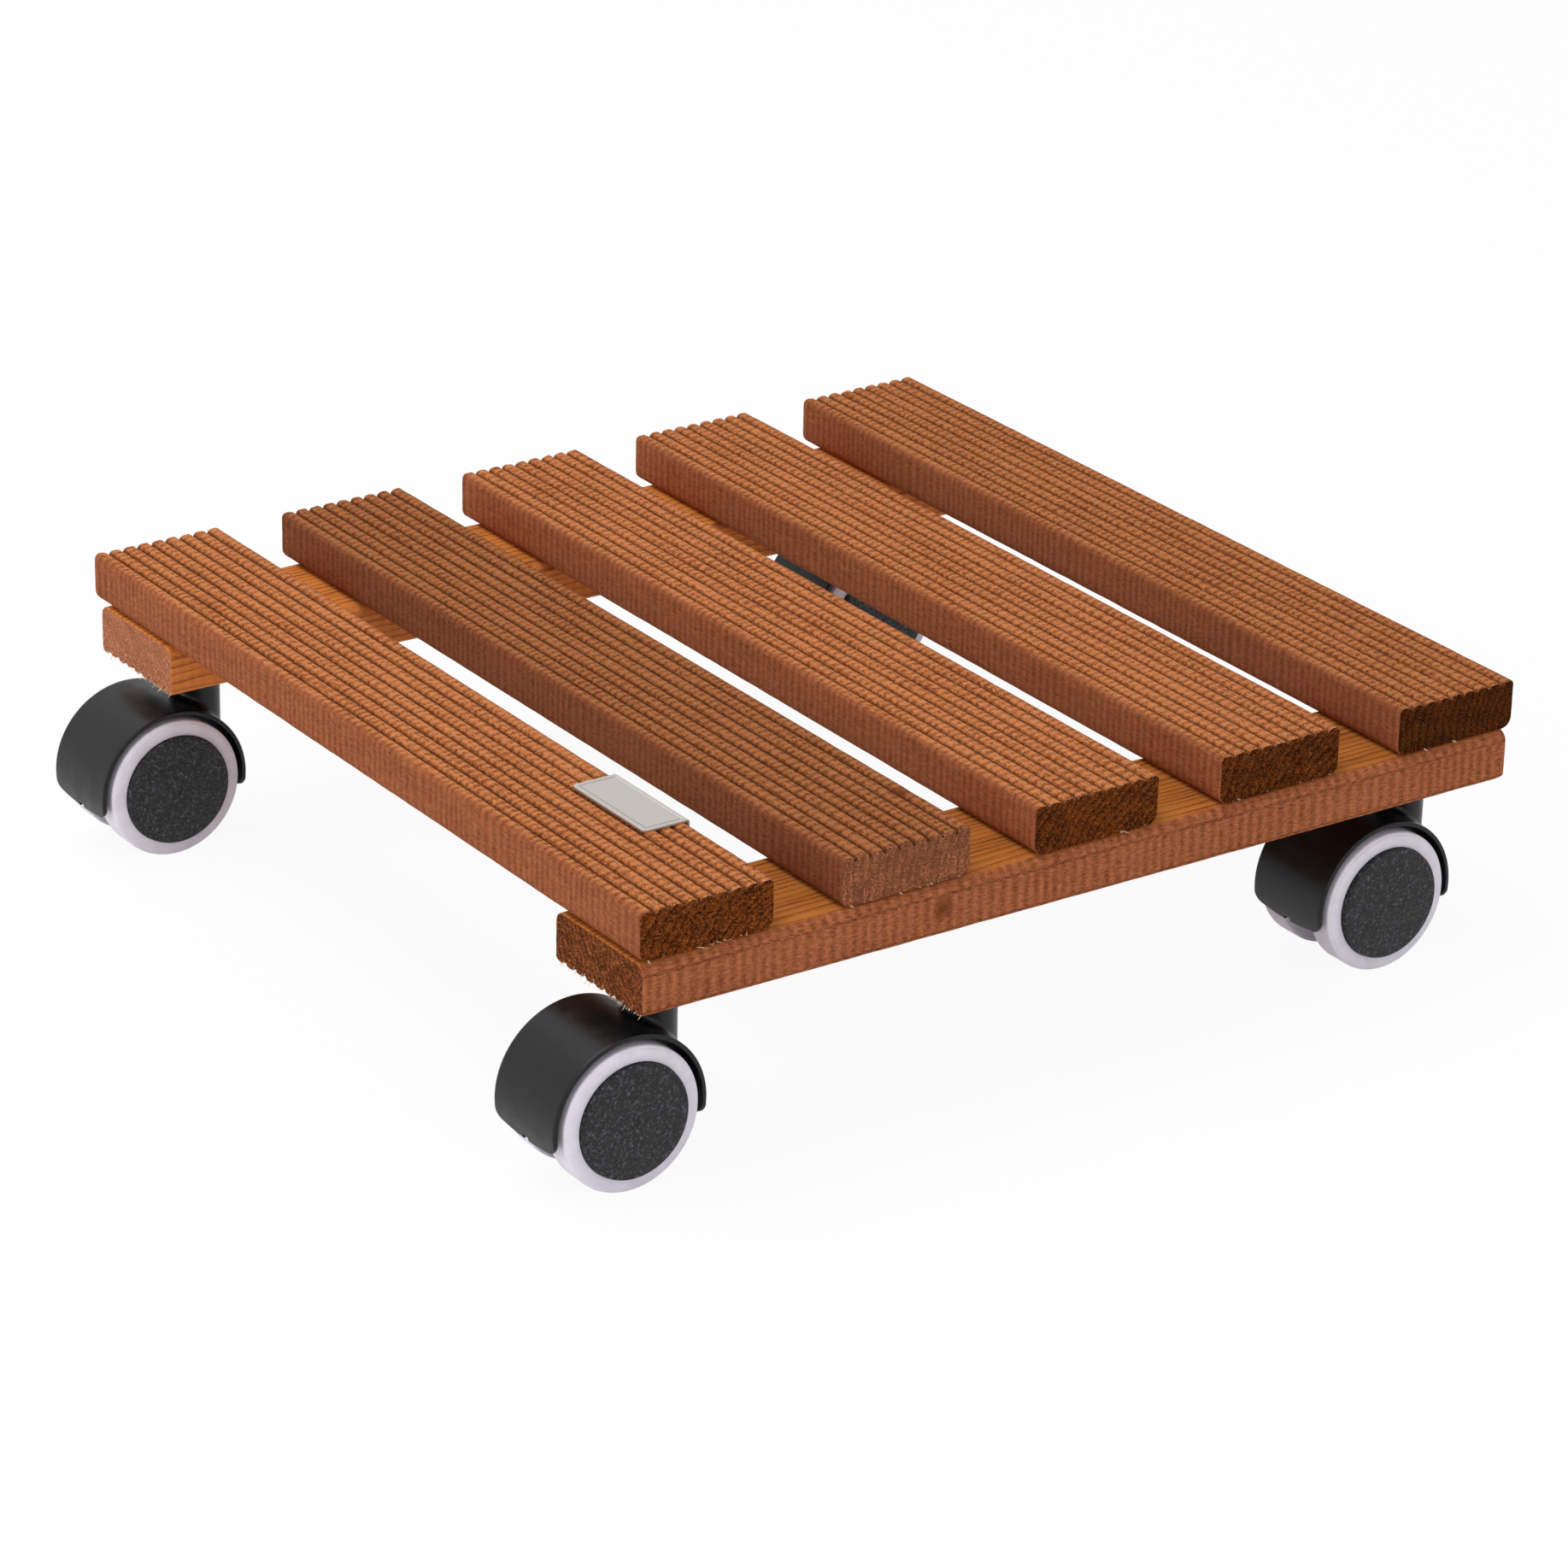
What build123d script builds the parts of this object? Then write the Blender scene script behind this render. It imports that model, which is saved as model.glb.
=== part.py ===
from build123d import *
import math
import os

# Plant caddy: ribbed slats on two ribbed bearers, rolling on four twin-wheel swivel casters.
# Millimetres. The origin is the middle of the deck's top face, on the crown of the middle ridge.
# +X runs along the slats to the front bearer, +Y across the slats, +Z up.

# Ribbed board, used for the slats and for the bearers
board_width = 50.0
board_thickness = 17.5
edge_round = 4.0
ridge_count = 9
groove_width = 0.4
ridge_round = 1.9

# Deck
slat_count = 5
slat_length = 350.0
slat_gap = 25.4

# Bearers, laid ribs down under the slat ends and flush with the first slat's outer side
bearer_short_of_deck = 3.7
front_bearer_proud = 2.3
back_bearer_inset = 4.4

# Nameplate, bent over the inner side of the first slat
nameplate_length = 42.5
nameplate_width = 17.4
nameplate_thickness = 0.8
nameplate_lip = 3.6
nameplate_corner = 2.0
nameplate_from_end = 49.0
nameplate_border_inset = 1.6
nameplate_border_width = 0.5
nameplate_border_depth = 0.2

# Countersunk screws, driven up through the bearers into the slats
slat_screw_length = 30.0
slat_screw_spread = 25.0

# Pan-head screws, driven up through the caster plates into the bearers
caster_screw_length = 16.0
caster_screw_head_height = 2.2
caster_screw_head_crown = 2.9

# What both kinds of screw share
screw_radius = 2.0
screw_head_radius = 3.8
screw_clearance = 0.05
screw_spare_depth = 1.0

# Caster as a whole
caster_height = 63.0
caster_trail = 18.5
front_left_inset = 19.5
back_left_inset = 23.0
right_inset = 24.4
wheel_radius = 25.0
wheel_width = 10.5

# Caster mounting plate
plate_size = 30.0
plate_thickness = 2.0
plate_corner = 4.0
plate_hole_spacing = 22.0

# Swivel pin, riveted into the plate, and the ring that holds it in the hood
pin_radius = 4.0
pin_spigot_radius = 3.0
pin_shoulder_radius = 5.5
pin_shoulder_height = 1.2
pin_length = 26.0
pin_tip_chamfer = 1.0
ring_thickness = 1.2
ring_depth = 0.8
ring_proud = 0.7
ring_mouth = 2.4
ring_from_tip = 7.0
swivel_clearance = 0.05
swivel_end_gap = 0.4

# Hood, moulded in one piece with the web, the axle boss and the neck
hood_radius = 28.5
hood_wall = 1.5
hood_half_width = 17.5
hood_rim_chamfer = 0.5
skirt_drop_middle = 7.6
skirt_drop_side = 5.6
skirt_corner = 3.5
skirt_notch_width = 3.0
skirt_notch_height = 1.4
web_half_width = 7.5
web_skirt_drop = 4.5
boss_radius = 10.0
neck_radius = 8.5
neck_foot_round = 2.0

# Axle, pressed into the boss, and the snap groove at each end
axle_radius = 3.0
axle_end_gap = 0.6
snap_depth = 0.5
snap_width = 1.2
snap_from_end = 1.6
snap_clearance = 0.1
wheel_clearance = 0.05
wheel_end_gap = 0.4

# Wheel core
hub_radius = 6.5
hub_length = 9.0
core_radius = 20.5
core_rim_thickness = 2.4
core_rim_inset = 0.4
core_disc_thickness = 1.8
core_disc_from_face = 3.0
spoke_count = 6
spoke_thickness = 1.3
spoke_inset = 1.0

# Soft tread
tread_chamfer = 0.9
tread_lip_radius = 19.9
tread_lip_thickness = 1.2
tread_step_radius = 24.0
tread_step = 0.25
tread_face_rise = 0.4

# Hub cap
cap_radius = 19.7
cap_proud = 2.2
cap_dome = 0.7
cap_chamfer = 0.5
cap_face_thickness = 1.6
cap_wall = 1.2
cap_spigot_length = 1.2
cap_spigot_clearance = 0.1

# How far a cutting tool runs past the solid that it cuts, and how near counts as touching
overrun = 1.0
touching = 0.01

# Sizes that follow from those above
ridge_pitch = (board_width + groove_width) / ridge_count
ridge_width = ridge_pitch - groove_width
slat_pitch = board_width + slat_gap
deck_width = slat_count * board_width + (slat_count - 1) * slat_gap
deck_start = -deck_width / 2
slat_ys = [deck_start + board_width / 2 + i * slat_pitch for i in range(slat_count)]
slat_underside = -board_thickness
bearer_underside = -2 * board_thickness
floor_level = bearer_underside - caster_height
bearer_length = deck_width - bearer_short_of_deck
bearer_end = deck_start + bearer_length
bearer_y = (deck_start + bearer_end) / 2
front_bearer_x = slat_length / 2 + front_bearer_proud - board_width / 2
back_bearer_x = -slat_length / 2 + back_bearer_inset + board_width / 2
screw_hole_radius = screw_radius + screw_clearance
pin_top = caster_height - plate_thickness
pin_shank_top = pin_top - pin_shoulder_height
pin_tip = pin_top - pin_length
ring_middle = pin_tip + ring_from_tip
ring_inner_radius = pin_radius - ring_depth
ring_outer_radius = pin_radius + ring_proud
neck_top = pin_shank_top - swivel_end_gap
hood_inner_radius = hood_radius - hood_wall
hub_inner_face = web_half_width + wheel_end_gap
hub_outer_face = hub_inner_face + hub_length
axle_half_length = hub_outer_face - axle_end_gap
snap_middle = axle_half_length - snap_from_end
snap_radius = axle_radius - snap_depth
tread_inner_face = hub_inner_face
tread_outer_face = tread_inner_face + wheel_width
core_inner_face = tread_inner_face + core_rim_inset
core_outer_face = tread_outer_face - tread_lip_thickness
core_rim_radius = core_radius - core_rim_thickness
core_disc_outer_face = core_outer_face - core_disc_from_face
cap_edge_face = tread_outer_face + cap_proud

# Where the casters stand: name, place along X, place along Y, and the way their outer wheels face
caster_places = [
    ("front_left", front_bearer_x, deck_start + front_left_inset, 1),
    ("front_right", front_bearer_x, bearer_end - right_inset, 1),
    ("back_left", back_bearer_x, deck_start + back_left_inset, -1),
    ("back_right", back_bearer_x, bearer_end - right_inset, -1),
]


# Shared shapes


def board_section():
    """Section of the ribbed board, ridges up, with the crowns at height 0."""
    edges = []
    for i in range(ridge_count):
        left = -board_width / 2 + i * ridge_pitch
        right = left + ridge_width
        edges.append(CenterArc((left + ridge_round, -ridge_round), ridge_round, 180, -90))
        edges.append(Line((left + ridge_round, 0), (right - ridge_round, 0)))
        edges.append(CenterArc((right - ridge_round, -ridge_round), ridge_round, 90, -90))
        if i < ridge_count - 1:
            edges.append(Line((right, -ridge_round), (left + ridge_pitch, -ridge_round)))
    half = board_width / 2
    edges.append(
        Polyline(
            (half, -ridge_round),
            (half, -board_thickness),
            (-half, -board_thickness),
            (-half, -ridge_round),
        )
    )
    section = make_face(edges)
    return fillet(section.vertices().sort_by(Axis.Y)[:2], edge_round)


def upright_cylinder(x, y, low, high, radius):
    return Pos(x, y, (low + high) / 2) * Cylinder(radius, high - low)


def turned(*points):
    """Solid turned about the Z axis from an outline of (radius, height) points."""
    outline = Plane.XZ * make_face(Polyline(*points, close=True))
    return revolve(outline, Axis.Z)


def square_corners(x, y, spacing):
    """The four corners of a square of holes round a point."""
    return [(x + i * spacing / 2, y + j * spacing / 2) for i in (-1, 1) for j in (-1, 1)]


def slat_screw_places(bearer_x, slat_y):
    return [(bearer_x, slat_y + side * slat_screw_spread / 2) for side in (-1, 1)]


# Boards


def slat(slat_y):
    """Slat, ridges up, with pilot holes for the screws from both bearers."""
    body = Pos(0, slat_y, 0) * extrude(Plane.YZ * board_section(), slat_length / 2, both=True)
    hole_top = bearer_underside + slat_screw_length + screw_spare_depth
    for bearer_x in (front_bearer_x, back_bearer_x):
        for x, y in slat_screw_places(bearer_x, slat_y):
            body -= upright_cylinder(x, y, slat_underside - overrun, hole_top, screw_hole_radius)
    return body


def countersunk_hole(x, y):
    """Tool that cuts a countersunk hole up through a bearer, for a head flush with the ridge."""
    head_height = screw_head_radius - screw_radius
    return Pos(x, y, bearer_underside) * turned(
        (0, -overrun),
        (screw_head_radius + screw_clearance + overrun, -overrun),
        (screw_hole_radius, head_height),
        (screw_hole_radius, board_thickness + overrun),
        (0, board_thickness + overrun),
    )


def bearer(bearer_x):
    """Bearer, ridges down, drilled for the slat screws and for two caster plates."""
    section = Pos(0, bearer_underside) * Rot(0, 0, 180) * board_section()
    body = Pos(bearer_x, bearer_y, 0) * extrude(Plane.XZ * section, bearer_length / 2, both=True)
    for slat_y in slat_ys:
        for x, y in slat_screw_places(bearer_x, slat_y):
            body -= countersunk_hole(x, y)
    hole_top = bearer_underside - plate_thickness + caster_screw_length + screw_spare_depth
    for name, caster_x, caster_y, facing in caster_places:
        if caster_x == bearer_x:
            for x, y in square_corners(caster_x, caster_y, plate_hole_spacing):
                body -= upright_cylinder(x, y, bearer_underside - overrun, hole_top, screw_hole_radius)
    return body


def nameplate():
    """Thin plate with an engraved border, its long inner edge bent down over the slat's side."""
    middle_x = slat_length / 2 - nameplate_from_end - nameplate_length / 2
    inner_y = deck_start + board_width + nameplate_thickness
    middle_y = inner_y - nameplate_width / 2
    sheet = Pos(middle_x, middle_y, nameplate_thickness / 2) * Box(
        nameplate_length, nameplate_width, nameplate_thickness
    )
    outer_corners = sheet.edges().filter_by(Axis.Z).sort_by(Axis.Y)[:2]
    sheet = fillet(outer_corners, nameplate_corner)
    lip_height = nameplate_lip + nameplate_thickness
    sheet += Pos(
        middle_x,
        inner_y - nameplate_thickness / 2,
        nameplate_thickness - lip_height / 2,
    ) * Box(nameplate_length, nameplate_thickness, lip_height)
    bend = sheet.edges().filter_by(Axis.X).group_by(Axis.Z)[-1].sort_by(Axis.Y)[-1]
    sheet = chamfer(bend, nameplate_thickness / 2)
    border = Rectangle(
        nameplate_length - 2 * nameplate_border_inset, nameplate_width - 2 * nameplate_border_inset
    )
    border -= offset(border, -nameplate_border_width)
    groove = extrude(Pos(middle_x, middle_y, nameplate_thickness) * border, -nameplate_border_depth)
    return sheet - groove


# Screws


def slat_screw():
    """Countersunk screw, point up, with its head's face at height 0."""
    return turned(
        (0, 0),
        (screw_head_radius, 0),
        (screw_radius, screw_head_radius - screw_radius),
        (screw_radius, slat_screw_length),
        (0, slat_screw_length),
    )


def caster_screw():
    """Pan-head screw, point up, with its head's seat at height 0."""
    return turned(
        (0, -caster_screw_head_height),
        (caster_screw_head_crown, -caster_screw_head_height),
        (screw_head_radius, 0),
        (screw_radius, 0),
        (screw_radius, caster_screw_length),
        (0, caster_screw_length),
    )


def slat_screws():
    """All screws from the bearers up into the slats."""
    return [
        Pos(x, y, bearer_underside) * slat_screw()
        for bearer_x in (front_bearer_x, back_bearer_x)
        for slat_y in slat_ys
        for x, y in slat_screw_places(bearer_x, slat_y)
    ]


def caster_screws():
    """All screws from the caster plates up into the bearers."""
    seat = bearer_underside - plate_thickness
    return [
        Pos(hole_x, hole_y, seat) * caster_screw()
        for name, x, y, facing in caster_places
        for hole_x, hole_y in square_corners(x, y, plate_hole_spacing)
    ]


# Caster, with the swivel axis on Z, the floor at height 0 and the wheels trailing toward -Y


def plate():
    """Mounting plate with its four screw holes and the hole for the pin's spigot."""
    middle = caster_height - plate_thickness / 2
    body = Pos(0, 0, middle) * Box(plate_size, plate_size, plate_thickness)
    body = fillet(body.edges().filter_by(Axis.Z), plate_corner)
    for x, y in square_corners(0, 0, plate_hole_spacing):
        body -= upright_cylinder(x, y, 0, caster_height + overrun, screw_hole_radius)
    return body - upright_cylinder(0, 0, 0, caster_height + overrun, pin_spigot_radius)


def pin():
    """Swivel pin: spigot in the plate, shoulder under it, shank and ring groove."""
    return turned(
        (0, caster_height),
        (pin_spigot_radius, caster_height),
        (pin_spigot_radius, pin_top),
        (pin_shoulder_radius, pin_top),
        (pin_shoulder_radius, pin_shank_top),
        (pin_radius, pin_shank_top),
        (pin_radius, ring_middle + ring_thickness / 2),
        (ring_inner_radius, ring_middle + ring_thickness / 2),
        (ring_inner_radius, ring_middle - ring_thickness / 2),
        (pin_radius, ring_middle - ring_thickness / 2),
        (pin_radius, pin_tip + pin_tip_chamfer),
        (pin_radius - pin_tip_chamfer, pin_tip),
        (0, pin_tip),
    )


def grip_ring():
    """Split ring in the pin's groove."""
    body = Cylinder(ring_outer_radius, ring_thickness) - Cylinder(ring_inner_radius, ring_thickness)
    mouth_middle = (ring_inner_radius + ring_outer_radius) / 2
    body -= Pos(0, mouth_middle, 0) * Box(ring_mouth, ring_outer_radius, ring_thickness)
    return Pos(0, 0, ring_middle) * body


def hood_shell():
    """Part-cylinder shell round the axle, with its lower edges bowed and its corners rounded."""
    width = 2 * hood_half_width
    drum = Cylinder(hood_radius, width)
    rims = drum.edges().filter_by(GeomType.CIRCLE)
    drum = chamfer(rims, hood_rim_chamfer) - Cylinder(hood_inner_radius, width)
    skirt_top = hood_radius + overrun
    skirt_edges = [
        Polyline(
            (-hood_half_width, -skirt_drop_side),
            (-hood_half_width, skirt_top),
            (hood_half_width, skirt_top),
            (hood_half_width, -skirt_drop_side),
        ),
        ThreePointArc(
            (hood_half_width, -skirt_drop_side),
            (0, -skirt_drop_middle),
            (-hood_half_width, -skirt_drop_side),
        ),
    ]
    skirt = make_face(skirt_edges)
    lower_corners = skirt.vertices().sort_by(Axis.Y)[:2]
    skirt = fillet(lower_corners, skirt_corner)
    keep = extrude(Plane.XZ * skirt, hood_radius + overrun, both=True)
    shell = (Rot(0, 90, 0) * drum) & keep
    notch_top = -skirt_drop_middle + skirt_notch_height
    notch = Pos(0, -hood_radius, notch_top - hood_wall) * Box(
        skirt_notch_width, hood_radius, 2 * hood_wall
    )
    return shell - notch


def hood():
    """Hood with web, axle boss and neck, its axle along X through the caster's wheel centre."""
    shell = hood_shell()
    web_top = hood_inner_radius + hood_wall / 2
    web_depth = boss_radius + web_top
    web_height = web_skirt_drop + web_top
    across = Rot(0, 90, 0)
    web = Pos(0, (web_top - boss_radius) / 2, (web_top - web_skirt_drop) / 2) * Box(
        2 * web_half_width, web_depth, web_height
    )
    web &= across * Cylinder(web_top, 2 * web_half_width)
    boss = across * Cylinder(boss_radius, 2 * web_half_width)
    neck = upright_cylinder(0, caster_trail, 0, neck_top - wheel_radius, neck_radius)
    neck -= across * Cylinder(hood_inner_radius, 2 * hood_half_width)
    body = shell + neck
    foot = body.edges().filter_by(lambda edge: is_neck_foot(edge))
    body = fillet(foot, neck_foot_round)
    body += web + boss
    body -= across * Cylinder(axle_radius, 2 * web_half_width + overrun)
    body = Pos(0, -caster_trail, wheel_radius) * body
    bore_radius = pin_radius + swivel_clearance
    body -= upright_cylinder(0, 0, pin_tip - swivel_end_gap, caster_height, bore_radius)
    groove_radius = ring_outer_radius + swivel_end_gap
    groove_half = ring_thickness / 2 + swivel_end_gap
    return body - upright_cylinder(
        0, 0, ring_middle - groove_half, ring_middle + groove_half, groove_radius
    )


def is_neck_foot(edge):
    """True for the curve in which the neck meets the outside of the hood's shell."""
    middle = edge @ 0.5
    on_neck = abs(math.hypot(middle.X, middle.Y - caster_trail) - neck_radius) < touching
    on_shell = abs(math.hypot(middle.Y, middle.Z) - hood_radius) < touching
    return on_neck and on_shell


def axle():
    """Axle along X with a snap groove near each end."""
    body = Cylinder(axle_radius, 2 * axle_half_length)
    for side in (-1, 1):
        groove = Cylinder(axle_radius + overrun, snap_width) - Cylinder(snap_radius, snap_width)
        body -= Pos(0, 0, side * snap_middle) * groove
    return Pos(0, -caster_trail, wheel_radius) * Rot(0, 90, 0) * body


# Wheel parts, turned about Z with height measured outward from the caster's middle


def on_axle(body, facing):
    """Stands a turned wheel part on the axle, facing +X or -X."""
    return Pos(0, -caster_trail, wheel_radius) * Rot(0, facing * 90, 0) * body


def wheel_core():
    """Hub, disc, rim and spokes, with a ridge that snaps into the axle's groove."""
    bore = axle_radius + wheel_clearance
    ridge_half = snap_width / 2 - snap_clearance
    hub = turned(
        (bore, hub_inner_face),
        (hub_radius, hub_inner_face),
        (hub_radius, hub_outer_face),
        (bore, hub_outer_face),
        (bore, snap_middle + ridge_half),
        (snap_radius + snap_clearance, snap_middle + ridge_half),
        (snap_radius + snap_clearance, snap_middle - ridge_half),
        (bore, snap_middle - ridge_half),
    )
    disc_inner_face = core_disc_outer_face - core_disc_thickness
    disc = turned(
        (hub_radius - overrun, disc_inner_face),
        (core_rim_radius, disc_inner_face),
        (core_rim_radius, core_inner_face),
        (core_radius, core_inner_face),
        (core_radius, core_outer_face),
        (core_rim_radius, core_outer_face),
        (core_rim_radius, core_disc_outer_face),
        (hub_radius - overrun, core_disc_outer_face),
    )
    body = hub + disc
    spoke_low = core_inner_face + spoke_inset
    spoke_length = core_rim_radius - hub_radius + overrun
    spoke = Pos(
        hub_radius + (core_rim_radius - hub_radius) / 2,
        0,
        (spoke_low + disc_inner_face) / 2,
    ) * Box(spoke_length, spoke_thickness, disc_inner_face - spoke_low)
    for i in range(spoke_count):
        body += Rot(0, 0, i * 360 / spoke_count) * spoke
    return body


def tread():
    """Soft tread round the core, with a lip over the core's outer face and a fine step."""
    face_height = tread_outer_face + tread_face_rise
    return turned(
        (core_radius, tread_inner_face),
        (wheel_radius - tread_chamfer, tread_inner_face),
        (wheel_radius, tread_inner_face + tread_chamfer),
        (wheel_radius, tread_outer_face - tread_chamfer),
        (tread_step_radius + tread_step, tread_outer_face - tread_step),
        (tread_step_radius, tread_outer_face - tread_step),
        (tread_step_radius, tread_outer_face),
        (tread_lip_radius, face_height),
        (tread_lip_radius, core_outer_face),
        (core_radius, core_outer_face),
    )


def hub_cap():
    """Cap seated on the core's rim, with a low cone in place of a flat face."""
    spigot_outer = core_rim_radius - cap_spigot_clearance
    spigot_inner = spigot_outer - cap_wall
    inside = cap_edge_face - cap_face_thickness
    return turned(
        (0, cap_edge_face + cap_dome),
        (cap_radius - cap_chamfer, cap_edge_face),
        (cap_radius, cap_edge_face - cap_chamfer),
        (cap_radius, core_outer_face),
        (spigot_outer, core_outer_face),
        (spigot_outer, core_outer_face - cap_spigot_length),
        (spigot_inner, core_outer_face - cap_spigot_length),
        (spigot_inner, inside),
        (0, inside),
    )


# Assembly


def caddy():
    """Every node by name, as a list of solids in the shared frame."""
    nodes = {f"slat_{i + 1}": [slat(y)] for i, y in enumerate(slat_ys)}
    nodes["front_bearer"] = [bearer(front_bearer_x)]
    nodes["back_bearer"] = [bearer(back_bearer_x)]
    nodes["nameplate"] = [nameplate()]
    nodes["slat_screws"] = slat_screws()
    nodes["caster_screws"] = caster_screws()
    fixed = {"plate": plate(), "pin": pin(), "ring": grip_ring(), "hood": hood(), "axle": axle()}
    wheel = {"core": wheel_core(), "tread": tread(), "cap": hub_cap()}
    for name, x, y, facing in caster_places:
        place = Pos(x, y, floor_level)
        for part_name, body in fixed.items():
            nodes[f"{name}_{part_name}"] = [place * body]
        for side_name, side in (("outer", facing), ("inner", -facing)):
            for part_name, body in wheel.items():
                nodes[f"{name}_{side_name}_{part_name}"] = [place * on_axle(body, side)]
    return nodes


os.makedirs("parts", exist_ok=True)
for node_name, solids in caddy().items():
    export_step(Compound(children=solids), f"parts/{node_name}.step")
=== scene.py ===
import math

import bmesh
import bpy
from mathutils import Matrix, Vector, noise


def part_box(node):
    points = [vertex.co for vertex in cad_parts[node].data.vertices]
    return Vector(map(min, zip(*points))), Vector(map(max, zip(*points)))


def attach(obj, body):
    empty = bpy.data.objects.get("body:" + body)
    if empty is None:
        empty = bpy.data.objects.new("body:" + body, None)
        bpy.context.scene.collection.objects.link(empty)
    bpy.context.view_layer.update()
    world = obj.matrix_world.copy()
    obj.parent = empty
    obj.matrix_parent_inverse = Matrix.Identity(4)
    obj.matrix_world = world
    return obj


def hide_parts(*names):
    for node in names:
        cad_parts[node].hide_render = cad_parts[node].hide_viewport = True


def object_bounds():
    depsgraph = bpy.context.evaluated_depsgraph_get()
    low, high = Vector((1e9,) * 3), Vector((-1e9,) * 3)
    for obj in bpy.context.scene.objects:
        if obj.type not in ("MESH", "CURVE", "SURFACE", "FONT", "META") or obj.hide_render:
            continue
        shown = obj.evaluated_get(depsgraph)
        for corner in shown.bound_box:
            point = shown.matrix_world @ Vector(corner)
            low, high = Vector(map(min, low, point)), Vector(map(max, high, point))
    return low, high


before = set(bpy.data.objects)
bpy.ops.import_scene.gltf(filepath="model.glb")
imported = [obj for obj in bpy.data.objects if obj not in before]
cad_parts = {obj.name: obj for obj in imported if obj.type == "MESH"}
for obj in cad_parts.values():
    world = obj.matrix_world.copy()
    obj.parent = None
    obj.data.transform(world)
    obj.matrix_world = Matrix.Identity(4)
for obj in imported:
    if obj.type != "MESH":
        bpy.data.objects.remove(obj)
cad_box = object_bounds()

bl_info = {
    "name": "Slatted Plant Caddy",
    "version": (1, 0, 0),
    "blender": (4, 5, 0),
    "location": "View3D > Sidebar > Plant Caddy",
    "description": "Dresses a ribbed wooden plant caddy on twin-wheel casters and sets its studio",
    "category": "Add Mesh",
}

MM = 0.001
SLATS = [f"slat_{number}" for number in range(1, 6)]
BEARERS = ["front_bearer", "back_bearer"]
CASTERS = ["front_left", "front_right", "back_left", "back_right"]
UP = Vector((0, 0, 1))


# Places read from the frame


def box_of(node):
    low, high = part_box(node)
    return Vector(low), Vector(high)


def size_of(node):
    low, high = box_of(node)
    return high - low


def middle_of(node):
    low, high = box_of(node)
    return (low + high) / 2


FLOOR_LEVEL = cad_box[0][2]
HOOD_HALF_WIDTH = size_of("front_left_hood").x / 2
HOOD_RADIUS = middle_of("front_left_axle").y - box_of("front_left_hood")[0].y
TREAD_RADIUS = size_of("front_left_outer_tread").y / 2
CAP_RADIUS = size_of("front_left_outer_cap").y / 2
CASTER_TRAIL = middle_of("front_left_pin").y - middle_of("front_left_axle").y


# Sizes and colours that a user would change


def length_property(name, description, default):
    return bpy.props.FloatProperty(
        name=name, description=description, default=default, unit="LENGTH"
    )


def angle_property(name, description, default):
    return bpy.props.FloatProperty(
        name=name, description=description, default=default, subtype="ANGLE"
    )


def colour_property(name, description, default):
    return bpy.props.FloatVectorProperty(
        name=name, description=description, default=default, subtype="COLOR"
    )


class BoardSizes(bpy.types.PropertyGroup):
    ridge_count: bpy.props.IntProperty(
        name="Ridges", description="Ridges across each board", default=9, min=1
    )
    ridge_crown: length_property("Crown", "Flat width on top of a ridge", 1.4 * MM)
    ridge_round: length_property(
        "Ridge round", "Radius of a ridge's shoulders, which is also the groove's depth", 1.9 * MM
    )
    edge_round: length_property(
        "Edge round", "Radius of the two long edges on the smooth side", 4 * MM
    )
    station: length_property("Station", "Spacing of the sections", 1.75 * MM)
    unevenness: length_property(
        "Unevenness", "How far planing and handling have taken the surface down", 0.12 * MM
    )
    tear_out: length_property("Tear-out", "How far the ends of the ridges are torn down", 0.55 * MM)


class NameplateSizes(bpy.types.PropertyGroup):
    thickness: length_property("Thickness", "Thickness of the sheet", 0.8 * MM)
    corner: length_property("Corner", "Radius of the outer corners", 2 * MM)
    border_inset: length_property("Border inset", "From the edge to the border", 1.6 * MM)
    border_width: length_property("Border width", "Width of the border", 0.5 * MM)
    border_depth: length_property("Border depth", "Depth of the border", 0.2 * MM)


class CasterSizes(bpy.types.PropertyGroup):
    hood_wall: length_property("Hood wall", "Thickness of the hood", 1.5 * MM)
    rim_round: length_property("Rim round", "Rounding of the hood's rims", 0.5 * MM)
    skirt_drop: length_property(
        "Skirt drop", "How far the skirt reaches below the axle at the hood's sides", 5.6 * MM
    )
    skirt_bow: length_property(
        "Skirt bow", "How much further the skirt reaches down in the middle", 2 * MM
    )
    skirt_corner: length_property("Skirt corner", "Radius of its corners", 3.5 * MM)
    notch_width: length_property("Notch width", "Notch in the rear skirt", 3 * MM)
    notch_height: length_property("Notch height", "Notch in the rear skirt", 1.4 * MM)
    neck_radius: length_property("Neck radius", "Radius of the neck", 8.5 * MM)
    neck_foot: length_property("Neck foot", "Fillet round the neck's foot", 2 * MM)
    web_half_width: length_property("Web", "Half the width of the web", 7.5 * MM)
    web_drop: length_property("Web drop", "Web's reach below the axle", 4.5 * MM)
    boss_radius: length_property("Boss", "Radius of the axle boss", 10 * MM)
    tread_round: length_property("Tread round", "Rounding of its shoulders", 0.9 * MM)
    cap_round: length_property("Cap round", "Rounding of the cap's edge", 0.5 * MM)


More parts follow.
